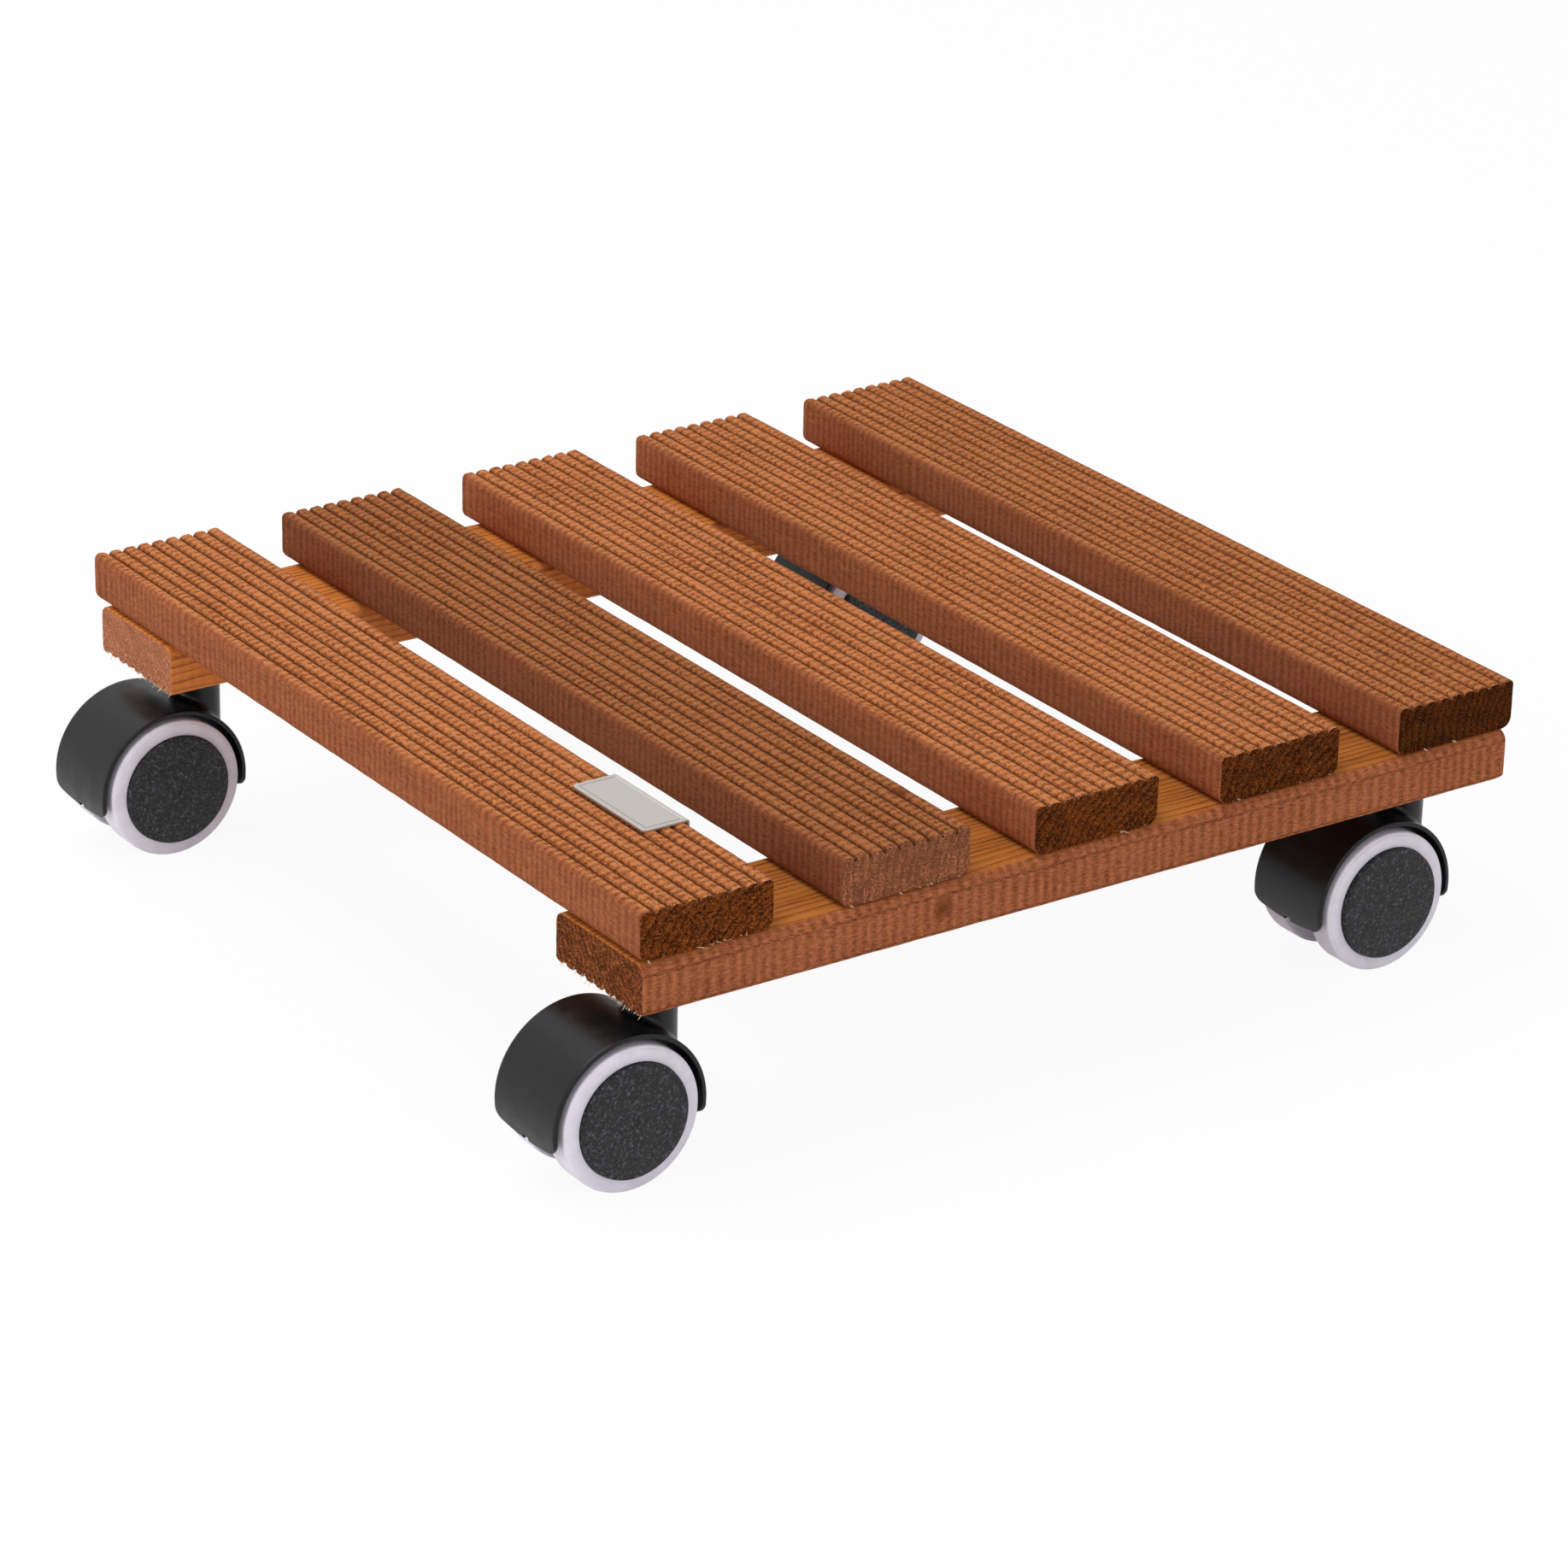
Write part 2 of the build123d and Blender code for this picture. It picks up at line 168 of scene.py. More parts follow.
class Finishes(bpy.types.PropertyGroup):
    ridge_light: colour_property(
        "Ridge light", "Handled crowns of the ridges", (0.78, 0.285, 0.104)
    )
    ridge_dark: colour_property(
        "Ridge dark", "Late wood and hollows on the ribbed side", (0.26, 0.066, 0.016)
    )
    # Stain settled in the grooves, darkened further as painted shade of the hollows between the
    # ridges; also the dark heart of a knot.
    groove: colour_property("Groove", "Stain settled in the grooves", (0.18, 0.05, 0.015))
    flank_light: colour_property("Flank light", "Planed sides", (0.56, 0.185, 0.082))
    flank_dark: colour_property(
        "Flank dark", "Chatter marks on the planed sides", (0.19, 0.048, 0.015)
    )
    smooth_light: colour_property(
        "Smooth light", "Early wood of the smooth side", (0.48, 0.160, 0.034)
    )
    smooth_dark: colour_property(
        "Smooth dark", "Late wood of the smooth side", (0.17, 0.043, 0.008)
    )
    end_dark: colour_property("End grain", "Stain soaked into the sawn ends", (0.045, 0.010, 0.002))
    end_light: colour_property(
        "End early wood", "Early wood of the sawn ends", (0.54, 0.135, 0.020)
    )
    end_pale: colour_property("Pale end", "Ends that took up little stain", (0.98, 0.37, 0.19))
    bare_wood: colour_property(
        "Bare wood", "Splinters and torn fibres without stain", (0.95, 0.74, 0.50)
    )
    plastic: colour_property("Black plastic", "Hoods and wheel cores", (0.004, 0.0038, 0.0045))
    tread: colour_property("Tread", "Soft tread", (0.84, 0.80, 0.90))
    aluminium: colour_property("Aluminium", "Nameplate", (0.56, 0.52, 0.49))
    zinc: colour_property("Zinc", "Slat screws, pins and axles", (0.50, 0.50, 0.52))
    coated: colour_property("Coated steel", "Caster plates and their screws", (0.03, 0.03, 0.032))


class StudioSettings(bpy.types.PropertyGroup):
    camera_azimuth: angle_property(
        "Azimuth", "Way the camera looks, from +X", math.radians(145.1454)
    )
    camera_elevation: angle_property("Elevation", "Angle that it looks down", math.radians(23.8221))
    camera_roll: angle_property("Roll", "Tilt about its line of sight", math.radians(1.2247))
    camera_distance: length_property("Distance", "From the camera to its target", 2.04572)
    camera_target: bpy.props.FloatVectorProperty(
        name="Target", description="Point in the middle of the picture", subtype="TRANSLATION",
        default=(0.005057, -0.004693, -0.060472)
    )
    lens: bpy.props.FloatProperty(
        name="Lens", description="Focal length in millimetres", default=135.48
    )


# Node helpers


def put(tree, kind, values=None, **settings):
    """A node with its settings, and with its inputs linked to sockets or set to values."""
    node = tree.nodes.new(kind)
    for name, value in settings.items():
        setattr(node, name, value)
    for key, value in (values or {}).items():
        if isinstance(value, bpy.types.NodeSocket):
            tree.links.new(value, node.inputs[key])
        else:
            node.inputs[key].default_value = value
    return node


def calc(tree, operation, first, second=0.0):
    """The result of one sum."""
    return put(tree, "ShaderNodeMath", {0: first, 1: second}, operation=operation).outputs[0]


def plus(tree, first, second):
    return calc(tree, "ADD", first, second)


def times(tree, first, second):
    return calc(tree, "MULTIPLY", first, second)


def ramp(tree, value, low, high, start=0.0, end=1.0):
    """Value carried smoothly from low..high to start..end, and held outside."""
    values = {"Value": value, "From Min": low, "From Max": high, "To Min": start, "To Max": end}
    return put(tree, "ShaderNodeMapRange", values, interpolation_type="SMOOTHSTEP").outputs[0]


def clamped(tree, value):
    """Value held between 0 and 1."""
    return put(tree, "ShaderNodeClamp", {"Value": value}).outputs[0]


def colour_input(colour):
    """A colour socket as it is, or a plain colour with its alpha."""
    return colour if isinstance(colour, bpy.types.NodeSocket) else (*colour, 1.0)


def blend_colours(tree, share, first, second):
    """The first colour carried to the second by a share from 0 to 1."""
    colours = {6: colour_input(first), 7: colour_input(second)}
    return put(tree, "ShaderNodeMix", {0: share, **colours}, data_type="RGBA").outputs[2]


def stretched(tree, place, scales):
    """Place with its three directions scaled."""
    return put(tree, "ShaderNodeVectorMath", {0: place, 1: scales}, operation="MULTIPLY").outputs[0]


def length_of(tree, vector):
    node = put(tree, "ShaderNodeVectorMath", {0: vector}, operation="LENGTH")
    return node.outputs["Value"]


def cloud(tree, place, scale, detail=2.0, roughness=0.5):
    """Noise from 0 to 1."""
    values = {"Vector": place, "Scale": scale, "Detail": detail, "Roughness": roughness}
    return put(tree, "ShaderNodeTexNoise", values).outputs[0]


# Effects that several materials share, as shader node groups


def new_group(name, inputs, outputs):
    """An empty group with its sockets, and the sockets of its input and output nodes.
    An input without a default is a vector."""
    group = bpy.data.node_groups.new(name, "ShaderNodeTree")
    for socket_name, default in inputs.items():
        kind = "NodeSocketVector" if default is None else "NodeSocketFloat"
        socket = group.interface.new_socket(socket_name, in_out="INPUT", socket_type=kind)
        if default is not None:
            socket.default_value = default
    for socket_name in outputs:
        group.interface.new_socket(socket_name, in_out="OUTPUT", socket_type="NodeSocketFloat")
    given = group.nodes.new("NodeGroupInput").outputs
    result = group.nodes.new("NodeGroupOutput").inputs
    return group, given, result


def use_group(tree, name, build, values):
    """The outputs of a placed group, which is built the first time it is asked for."""
    group = bpy.data.node_groups.get(name) or build(name)
    return put(tree, "ShaderNodeGroup", values, node_tree=group).outputs


def build_growth_rings(name):
    """Growth rings round a pith that runs along the board.
    Place is (along, across, depth) in millimetres."""
    group, given, result = new_group(
        name, {"Place": None, "Ring width": 3.0}, ("Late wood", "Fibre", "Blotch")
    )
    place = given["Place"]
    drift = cloud(group, stretched(group, place, (0.006, 0.03, 0.03)), 1.0, 3.0)
    drift = times(group, calc(group, "SUBTRACT", drift, 0.5), 14.0)
    radius = length_of(group, stretched(group, place, (0.0, 1.0, 1.0)))
    ripple = cloud(group, stretched(group, place, (0.03, 0.6, 0.6)), 1.0, 2.0)
    radius = plus(group, plus(group, radius, drift), ripple)
    turn = calc(group, "FRACT", calc(group, "DIVIDE", radius, given["Ring width"]))
    late = calc(group, "POWER", turn, 2.6)
    late = times(group, late, ramp(group, turn, 1.0, 0.93))
    group.links.new(late, result["Late wood"])
    fibre = cloud(group, stretched(group, place, (0.045, 2.6, 2.6)), 1.0, 5.0, 0.62)
    group.links.new(fibre, result["Fibre"])
    blotch = cloud(group, stretched(group, place, (0.02, 0.09, 0.09)), 1.0, 4.0, 0.6)
    group.links.new(blotch, result["Blotch"])
    return group


def build_planer_chatter(name):
    """Bars across the board that a planer leaves, shifted from ridge to ridge and of uneven
    strength, with the short fibres and specks that it raises."""
    group, given, result = new_group(
        name, {"Place": None, "Pitch": 3.6, "Ridge": 0.0}, ("Bars", "Fuzz", "Specks")
    )
    place = given["Place"]
    along = put(group, "ShaderNodeSeparateXYZ", {0: place}).outputs[0]
    slowly = times(group, along, 0.03)
    spot = put(group, "ShaderNodeCombineXYZ", {0: slowly, 1: given["Ridge"]}).outputs[0]
    sway = cloud(group, spot, 1.0, 0.0)
    along = plus(group, along, times(group, sway, 12.0))
    turns = calc(group, "DIVIDE", times(group, along, math.tau), given["Pitch"])
    wave = times(group, calc(group, "SINE", turns), 0.5)
    strength = cloud(group, stretched(group, place, (0.22, 0.5, 0.2)), 1.0, 3.0)
    strength = ramp(group, strength, 0.3, 0.62, 0.4)
    bars = plus(group, times(group, wave, strength), 0.5)
    group.links.new(bars, result["Bars"])
    fuzz = cloud(group, stretched(group, place, (0.38, 1.9, 1.7)), 1.0, 5.0, 0.72)
    group.links.new(ramp(group, fuzz, 0.33, 0.67), result["Fuzz"])
    specks = cloud(group, stretched(group, place, (0.95, 1.3, 1.3)), 1.0, 4.0, 0.8)
    group.links.new(ramp(group, specks, 0.36, 0.64), result["Specks"])
    return group


def build_end_grain(name):
    """Sawn end: growth rings as bands, pores and pale torn flecks along the rings."""
    group, given, result = new_group(
        name, {"Place": None, "Late wood": 0.0}, ("Tone", "Flecks")
    )
    place = given["Place"]
    grain = cloud(group, stretched(group, place, (0.4, 1.1, 1.5)), 1.0, 5.0, 0.8)
    grain = ramp(group, grain, 0.41, 0.6)
    patches = cloud(group, stretched(group, place, (0.1, 0.14, 0.2)), 1.0, 3.0)
    patches = times(group, ramp(group, patches, 0.35, 0.65), 0.25)
    tone = plus(group, times(group, grain, 0.9), patches)
    late = times(group, given["Late wood"], -0.6)
    group.links.new(clamped(group, plus(group, tone, late)), result["Tone"])
    torn = cloud(group, stretched(group, place, (0.4, 1.1, 3.0)), 1.0, 3.0, 0.6)
    group.links.new(ramp(group, torn, 0.62, 0.68), result["Flecks"])
    return group


def build_moulded_texture(name):
    """Fine texture of a moulded or plated skin, with a little dust and handling."""
    group, given, result = new_group(
        name, {"Place": None, "Scale": 1.0}, ("Texture", "Handling", "Dust")
    )
    place = given["Place"]
    fine = cloud(group, place, times(group, given["Scale"], 3.4), 4.0, 0.6)
    group.links.new(fine, result["Texture"])
    handling = ramp(group, cloud(group, place, 0.16, 4.0, 0.6), 0.3, 0.7)
    group.links.new(handling, result["Handling"])
    dust = ramp(group, cloud(group, place, 1.1, 6.0, 0.75), 0.6, 0.78)
    group.links.new(dust, result["Dust"])
    return group


# Materials


def new_material(name, **settings):
    """A material with its shader, its node tree and the piece's own place in millimetres."""
    material = bpy.data.materials.new(name)
    material.use_nodes = True
    tree = material.node_tree
    shader = tree.nodes["Principled BSDF"]
    for key, value in settings.items():
        shader.inputs[key.replace("_", " ")].default_value = value
    coordinates = put(tree, "ShaderNodeTexCoord").outputs["Object"]
    place = stretched(tree, coordinates, (1 / MM, 1 / MM, 1 / MM))
    return material, tree, shader, place


def raise_surface(tree, shader, height, depth, below=None):
    """Bump of that depth in metres, on top of another bump where one is given."""
    values = {"Height": height, "Distance": depth}
    if below is not None:
        values["Normal"] = below
    normal = put(tree, "ShaderNodeBump", values).outputs[0]
    tree.links.new(normal, shader.inputs["Normal"])
    return normal


def attribute(tree, name, output="Fac"):
    return put(tree, "ShaderNodeAttribute", attribute_name=name).outputs[output]


def weighted(tree, start, *terms):
    """Start plus each (value, weight) term, the values taken about their middle of one half."""
    total = start
    for value, weight in terms:
        about_middle = calc(tree, "SUBTRACT", value, 0.5)
        total = plus(tree, times(tree, about_middle, weight), total)
    return total


def stained_wood(name, colours, pitch, ring_width, rough_sawn):
    """Stained softwood. The board's attributes tell its grooves (stain with painted shade),
    sides, smooth side and ends, and rough_sawn how strongly the planed sides are marked."""
    material, tree, shader, _ = new_material(name, Roughness=0.7, Specular_IOR_Level=0.04)
    place = attribute(tree, "board_place", "Vector")
    groove = attribute(tree, "groove")
    flank = attribute(tree, "flank")
    smooth = attribute(tree, "smooth_side")
    end_face = attribute(tree, "end_face")
    pale_end = attribute(tree, "pale_end")
    rings = use_group(
        tree, "Growth rings", build_growth_rings, {"Place": place, "Ring width": ring_width}
    )
    chatter = use_group(
        tree, "Planer chatter", build_planer_chatter,
        {"Place": place, "Pitch": pitch, "Ridge": attribute(tree, "ridge")}
    )
    worn = weighted(
        tree, 0.62, (chatter["Bars"], 0.8), (chatter["Specks"], 0.75), (chatter["Fuzz"], 0.6),
        (rings["Fibre"], 0.6), (rings["Blotch"], 0.9), (rings["Late wood"], -0.3)
    )
    ridged = blend_colours(tree, clamped(tree, worn), colours.ridge_dark, colours.ridge_light)
    # Painted shade: the grooves are darkened by their depth below the crowns, on top of the stain
    # that settles in them.
    settled_and_shaded = plus(tree, weighted(tree, 0.0, (chatter["Specks"], -0.3)), groove)
    ridged = blend_colours(tree, ramp(tree, settled_and_shaded, 0.12, 0.95), ridged, colours.groove)
    planed = weighted(
        tree, 0.0, (chatter["Bars"], 0.75), (chatter["Specks"], 0.6), (chatter["Fuzz"], 0.9),
        (rings["Blotch"], 0.8), (rings["Fibre"], 0.5)
    )
    planed = plus(tree, times(tree, planed, rough_sawn), 0.55)
    planed = blend_colours(tree, clamped(tree, planed), colours.flank_dark, colours.flank_light)
    figured = weighted(
        tree, 0.5, (rings["Late wood"], -1.1), (rings["Fibre"], 2.6), (chatter["Specks"], 0.3),
        (rings["Blotch"], 1.6)
    )
    figured = blend_colours(
        tree, clamped(tree, figured), colours.smooth_dark, colours.smooth_light
    )
    colour = blend_colours(tree, flank, ridged, planed)
    colour = blend_colours(tree, smooth, colour, figured)
    grain = use_group(
        tree, "End grain", build_end_grain, {"Place": place, "Late wood": rings["Late wood"]}
    )
    end = blend_colours(tree, pale_end, colours.end_light, colours.end_pale)
    shade = blend_colours(tree, 0.4, colours.end_dark, end)
    shade = blend_colours(tree, pale_end, colours.end_dark, shade)
    sawn = blend_colours(tree, grain["Tone"], shade, end)
    flecks = times(tree, grain["Flecks"], 0.8)
    sawn = blend_colours(tree, flecks, sawn, colours.end_pale)
    colour = blend_colours(tree, end_face, colour, sawn)
    colour = stretched(tree, colour, attribute(tree, "board_tone", "Vector"))
    knot = length_of(tree, attribute(tree, "from_knot", "Vector"))
    knot = plus(tree, knot, times(tree, rings["Fibre"], 1.2))
    heart = ramp(tree, knot, 3.4, 1.4)
    rim = times(tree, ramp(tree, knot, 5.6, 3.8), 0.45)
    colour = blend_colours(tree, rim, colour, colours.flank_dark)
    colour = blend_colours(tree, times(tree, heart, 0.8), colour, colours.groove)
    tree.links.new(colour, shader.inputs["Base Color"])
    tree.links.new(ramp(tree, smooth, 0.0, 1.0, 0.76, 0.55), shader.inputs["Roughness"])
    marks = times(tree, chatter["Bars"], calc(tree, "SUBTRACT", 1.0, smooth))
    below = raise_surface(tree, shader, marks, 0.3 * MM)
    hairs = weighted(tree, 0.0, (chatter["Fuzz"], 1.0), (chatter["Specks"], 0.7))
    hairs = times(tree, hairs, ramp(tree, smooth, 0.0, 1.0, 1.0, 0.25))
    below = raise_surface(tree, shader, hairs, 0.16 * MM, below=below)
    sawn_height = times(tree, grain["Tone"], end_face)
    raise_surface(tree, shader, sawn_height, 0.35 * MM, below=below)
    return material


def black_plastic(name, colour, roughness, grain_scale, grain_depth):
    """Satin moulded plastic with a fine eroded texture."""
    material, tree, shader, place = new_material(
        name, Roughness=roughness, Specular_IOR_Level=0.3
    )
    texture = use_group(
        tree, "Moulded texture", build_moulded_texture, {"Place": place, "Scale": grain_scale}
    )
    grey = tuple(part * 2.2 + 0.012 for part in colour)
    dusty = blend_colours(tree, times(tree, texture["Dust"], 0.35), colour, grey)
    tree.links.new(dusty, shader.inputs["Base Color"])
    rough = ramp(tree, texture["Handling"], 0.0, 1.0, roughness - 0.05, roughness + 0.06)
    tree.links.new(rough, shader.inputs["Roughness"])
    raise_surface(tree, shader, texture["Texture"], grain_depth)
    return material


def leather_grain_plastic(name, colour):
    """Hub cap plastic with a coarse leather grain of rounded pads between creases, and painted
    glints as pale specks.
    """
    material, tree, shader, place = new_material(name, Roughness=0.4, Specular_IOR_Level=0.4)
    bend = put(tree, "ShaderNodeTexNoise", {"Vector": place, "Scale": 0.9, "Detail": 2.0})
    bent = put(
        tree, "ShaderNodeVectorMath", {0: bend.outputs["Color"], 1: (1.6, 1.6, 1.6), 2: place},
        operation="MULTIPLY_ADD",
    ).outputs[0]
    cells = put(
        tree, "ShaderNodeTexVoronoi", {"Vector": bent, "Scale": 0.6}, feature="DISTANCE_TO_EDGE"
    ).outputs["Distance"]
    pads = ramp(tree, cells, 0.02, 0.3)
    # Painted glints: sparse pale specks in the base colour stand in for glints of light on the
    # grain; the same specks also raise a bump.
    glints = ramp(tree, cloud(tree, place, 0.8, 5.0, 0.8), 0.5, 0.62)
    pale = tuple(part + tint for part, tint in zip(colour, (0.13, 0.13, 0.16)))
    shade = blend_colours(tree, glints, colour, pale)
    tree.links.new(shade, shader.inputs["Base Color"])
    rough = ramp(tree, pads, 0.0, 1.0, 0.6, 0.34)
    tree.links.new(rough, shader.inputs["Roughness"])
    below = raise_surface(tree, shader, pads, 0.35 * MM)
    raise_surface(tree, shader, glints, 0.2 * MM, below=below)
    return material


def soft_tread(name, colour):
    """Pale soft tread with a matt skin, faint scuffs and a little picked-up dust."""
    material, tree, shader, place = new_material(name, Roughness=0.5, Specular_IOR_Level=0.4)
    texture = use_group(
        tree, "Moulded texture", build_moulded_texture, {"Place": place, "Scale": 0.8}
    )
    darker = tuple(part * 0.82 for part in colour)
    dust = (0.33, 0.30, 0.28)
    tone = blend_colours(tree, times(tree, texture["Handling"], 0.5), colour, darker)
    dusty = blend_colours(tree, times(tree, texture["Dust"], 0.4), tone, dust)
    tree.links.new(dusty, shader.inputs["Base Color"])
    rough = ramp(tree, texture["Handling"], 0.0, 1.0, 0.42, 0.58)
    tree.links.new(rough, shader.inputs["Roughness"])
    raise_surface(tree, shader, texture["Texture"], 0.03 * MM)
    return material


def metal(name, colour, roughness, streaks):
    """Metal with a satin skin. Streaks gives how far the skin is drawn out along X, Y and Z."""
    material, tree, shader, place = new_material(name, Metallic=1.0, Roughness=roughness)
    texture = use_group(
        tree, "Moulded texture", build_moulded_texture, {"Place": place, "Scale": 1.0}
    )
    skin = cloud(tree, stretched(tree, place, streaks), 1.0, 4.0, 0.65)
    darker = tuple(part * 0.8 for part in colour)
    tone = blend_colours(tree, skin, colour, darker)
    tree.links.new(tone, shader.inputs["Base Color"])
    mottled = weighted(tree, 0.75, (skin, 0.5))
    mottled = plus(tree, mottled, times(tree, texture["Handling"], 0.5))
    rough = ramp(tree, mottled, 0.0, 1.0, roughness - 0.08, roughness + 0.1)
    tree.links.new(rough, shader.inputs["Roughness"])
    raise_surface(tree, shader, skin, 0.02 * MM)
    return material


def torn_wood(name, colour):
    """Bare torn fibre of splinters."""
    material, tree, shader, place = new_material(name, Roughness=0.9, Specular_IOR_Level=0.0)
    streak = cloud(tree, stretched(tree, place, (1.2, 1.2, 3.0)), 1.0, 4.0, 0.6)
    darker = tuple(part * 0.6 for part in colour)
    tree.links.new(blend_colours(tree, streak, colour, darker), shader.inputs["Base Color"])
    raise_surface(tree, shader, streak, 0.05 * MM)
    return material


def material_once(name, build, *values, **sizes):
    """The material of that name, built the first time it is asked for."""
    return bpy.data.materials.get(name) or build(name, *values, **sizes)


def slat_wood(colours):
    sizes = {"pitch": 3.6, "ring_width": 3.0, "rough_sawn": 0.5}
    return material_once("Stained slat wood", stained_wood, colours, **sizes)


def bearer_wood(colours):
    sizes = {"pitch": 4.2, "ring_width": 2.6, "rough_sawn": 0.62}
    return material_once("Stained bearer wood", stained_wood, colours, **sizes)


def splinter_wood(colours):
    return material_once("Torn wood", torn_wood, colours.bare_wood)


def hood_plastic(colours):
    return material_once("Hood plastic", black_plastic, colours.plastic, 0.34, 1.0, 0.02 * MM)


def core_plastic(colours):
    return material_once("Wheel core plastic", black_plastic, colours.plastic, 0.5, 0.7, 0.03 * MM)


def cap_plastic(colours):
    return material_once("Hub cap plastic", leather_grain_plastic, colours.plastic)


def tread_material(colours):
    return material_once("Soft tread", soft_tread, colours.tread)


def nameplate_metal(colours):
    return material_once("Satin aluminium", metal, colours.aluminium, 0.36, (0.3, 4.0, 4.0))


def zinc_steel(colours):
    return material_once("Zinc plated steel", metal, colours.zinc, 0.4, (0.8, 0.8, 0.8))


def coated_steel(colours):
    return material_once("Black coated steel", metal, colours.coated, 0.5, (0.8, 0.8, 0.8))


# Mesh helpers


def add_piece(name, points, faces, material, body, nodes, sharp=math.radians(40)):
    """A piece made of points and faces, smooth but for its sharp edges, that replaces CAD nodes."""
    mesh = bpy.data.meshes.new(name)
    mesh.from_pydata([tuple(point) for point in points], [], faces)
    mesh.validate()
    edit = bmesh.new()
    edit.from_mesh(mesh)
    bmesh.ops.recalc_face_normals(edit, faces=edit.faces)
    edit.to_mesh(mesh)
    edit.free()
    mesh.shade_smooth()
    mesh.set_sharp_from_angle(angle=sharp)
    mesh.materials.append(material)
    piece = bpy.data.objects.new(name, mesh)
    bpy.context.scene.collection.objects.link(piece)
    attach(piece, body)
    if nodes:
        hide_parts(*nodes)
    return piece


def grid_faces(rows, columns, start=0, closed=False):
    """Quads between rows of points, each row joined to itself where closed."""
    faces = []
    for row in range(rows - 1):
        for column in range(columns if closed else columns - 1):
            after = (column + 1) % columns
            first = start + row * columns
            second = first + columns
            faces.append((first + column, first + after, second + after, second + column))
    return faces


def arc(middle, radius, start, end, steps):
    """Points on an arc of a circle, angles in degrees."""
    points = []
    for step in range(steps + 1):
        angle = math.radians(start + (end - start) * step / steps)
        points.append((middle[0] + radius * math.cos(angle), middle[1] + radius * math.sin(angle)))
    return points


def lathe(outline, segments):
    """Points and faces of an outline of (radius, height) turned about Z, closed on itself."""
    points = []
    for radius, height in outline:
        for segment in range(segments):
            angle = math.tau * segment / segments
            points.append(Vector((radius * math.cos(angle), radius * math.sin(angle), height)))
    faces = grid_faces(len(outline), segments, closed=True)
    last = (len(outline) - 1) * segments
    for segment in range(segments):
        after = (segment + 1) % segments
        faces.append((last + segment, last + after, after, segment))
    return points, faces


def join_parts(*parts):
    """Several (points, faces) as one."""
    points, faces = [], []
    for more_points, more_faces in parts:
        start = len(points)
        points += more_points
        faces += [tuple(start + index for index in face) for face in more_faces]
    return points, faces


def give_attribute(piece, name, values, kind="FLOAT"):
    layer = piece.data.attributes.new(name, kind, "POINT")
    if kind == "FLOAT":
        layer.data.foreach_set("value", values)
    else:
        layer.data.foreach_set("vector", [part for value in values for part in value])


# Boards


def board_section(sizes, width, thickness):
    """Closed outline of a board's section: across, and height from the crowns."""
    half = width / 2
    ridge_width = sizes.ridge_crown + 2 * sizes.ridge_round
    pitch = (width - ridge_width) / (sizes.ridge_count - 1)
    outline = []
    side_top = -sizes.ridge_round
    for ridge in range(sizes.ridge_count):
        left = -half + ridge * pitch
        right = left + ridge_width
        outline += arc((left + sizes.ridge_round, side_top), sizes.ridge_round, 180, 90, 5)
        outline.append((left + ridge_width / 2, 0.0))
        outline += arc((right - sizes.ridge_round, side_top), sizes.ridge_round, 90, 0, 5)
    side_steps = 6
    side_low = -thickness + sizes.edge_round
    for step in range(1, side_steps):
        outline.append((half, side_top + (side_low - side_top) * step / side_steps))
    outline += arc((half - sizes.edge_round, side_low), sizes.edge_round, 0, -90, 6)
    under_steps = 12
    flat = half - sizes.edge_round
    for step in range(1, under_steps):
        outline.append((flat - 2 * flat * step / under_steps, -thickness))
    outline += arc((-flat, side_low), sizes.edge_round, -90, -180, 6)
    for step in range(1, side_steps):
        outline.append((-half, side_low + (side_top - side_low) * step / side_steps))
    return outline


def ramp_between(value, low, high):
    """Share from 0 at low to 1 at high."""
    return min(1.0, max(0.0, (value - low) / (high - low)))


def inward_normals(outline):
    """Unit normals into the section at each of its points."""
    normals = []
    for index in range(len(outline)):
        before = outline[index - 1]
        after = outline[(index + 1) % len(outline)]
        run = Vector((after[0] - before[0], after[1] - before[1]))
        run.normalize()
        normals.append(Vector((run.y, -run.x)))
    return normals


FAR_AWAY = (1000.0, 0.0, 0.0)
PALE_ENDS = {"slat_2": (0.2, 0.7), "back_bearer": (1.0, 0.4), "front_bearer": (0.2, 0.3)}
SMOOTH_FLANKS = {"back_bearer": 0.8}
END_TONES = {"slat_3": 0.85, "slat_4": 0.7, "slat_5": 0.5, "back_bearer": 1.25}
BOARD_TONES = {
    "slat_2": 0.7, "slat_4": 0.97, "slat_5": 0.85, "front_bearer": 1.13, "back_bearer": 1.65
}
KNOTS = {
    "slat_2": (Vector((0.142, 0, 0)), 20.5, 0.0),
    "front_bearer": (Vector((0, -0.062, 0)), 25.0, -9.5),
}
PITH_DISTANCE = 62.0
BOARD_MARKS = ("groove", "flank", "smooth_side", "ridge", "board_tone", "end_face", "pale_end")
END_CHAMFER = 0.25 * MM
TEAR_REACH = 2.2 * MM


def board_stations(length, spacing):
    """Places of the sections along a board, close together at its ends."""
    near = [0.0, END_CHAMFER, 0.7 * MM, 1.4 * MM]
    inner = length - 2 * near[-1]
    count = round(inner / spacing)
    middle = [near[-1] + inner * step / count for step in range(1, count)]
    return near + middle + [length - station for station in reversed(near)]


def worn_depth(sizes, where, from_end, on_ridge, seed, far_end):
    """How far wear has taken the surface down, and tearing the ends of the ridges."""
    probe = Vector((where.x * 0.12 + seed * 31, where.y * 0.55, where.z * 0.35))
    wear = sizes.unevenness * max(0.0, noise.noise(probe) + 0.25)
    if from_end < TEAR_REACH and on_ridge:
        torn = noise.noise(Vector((seed * 7.7 + far_end * 3, where.y * 0.42, 1.5)))
        wear += sizes.tear_out * max(0.0, torn - 0.05) * (1 - from_end / TEAR_REACH)
    return wear


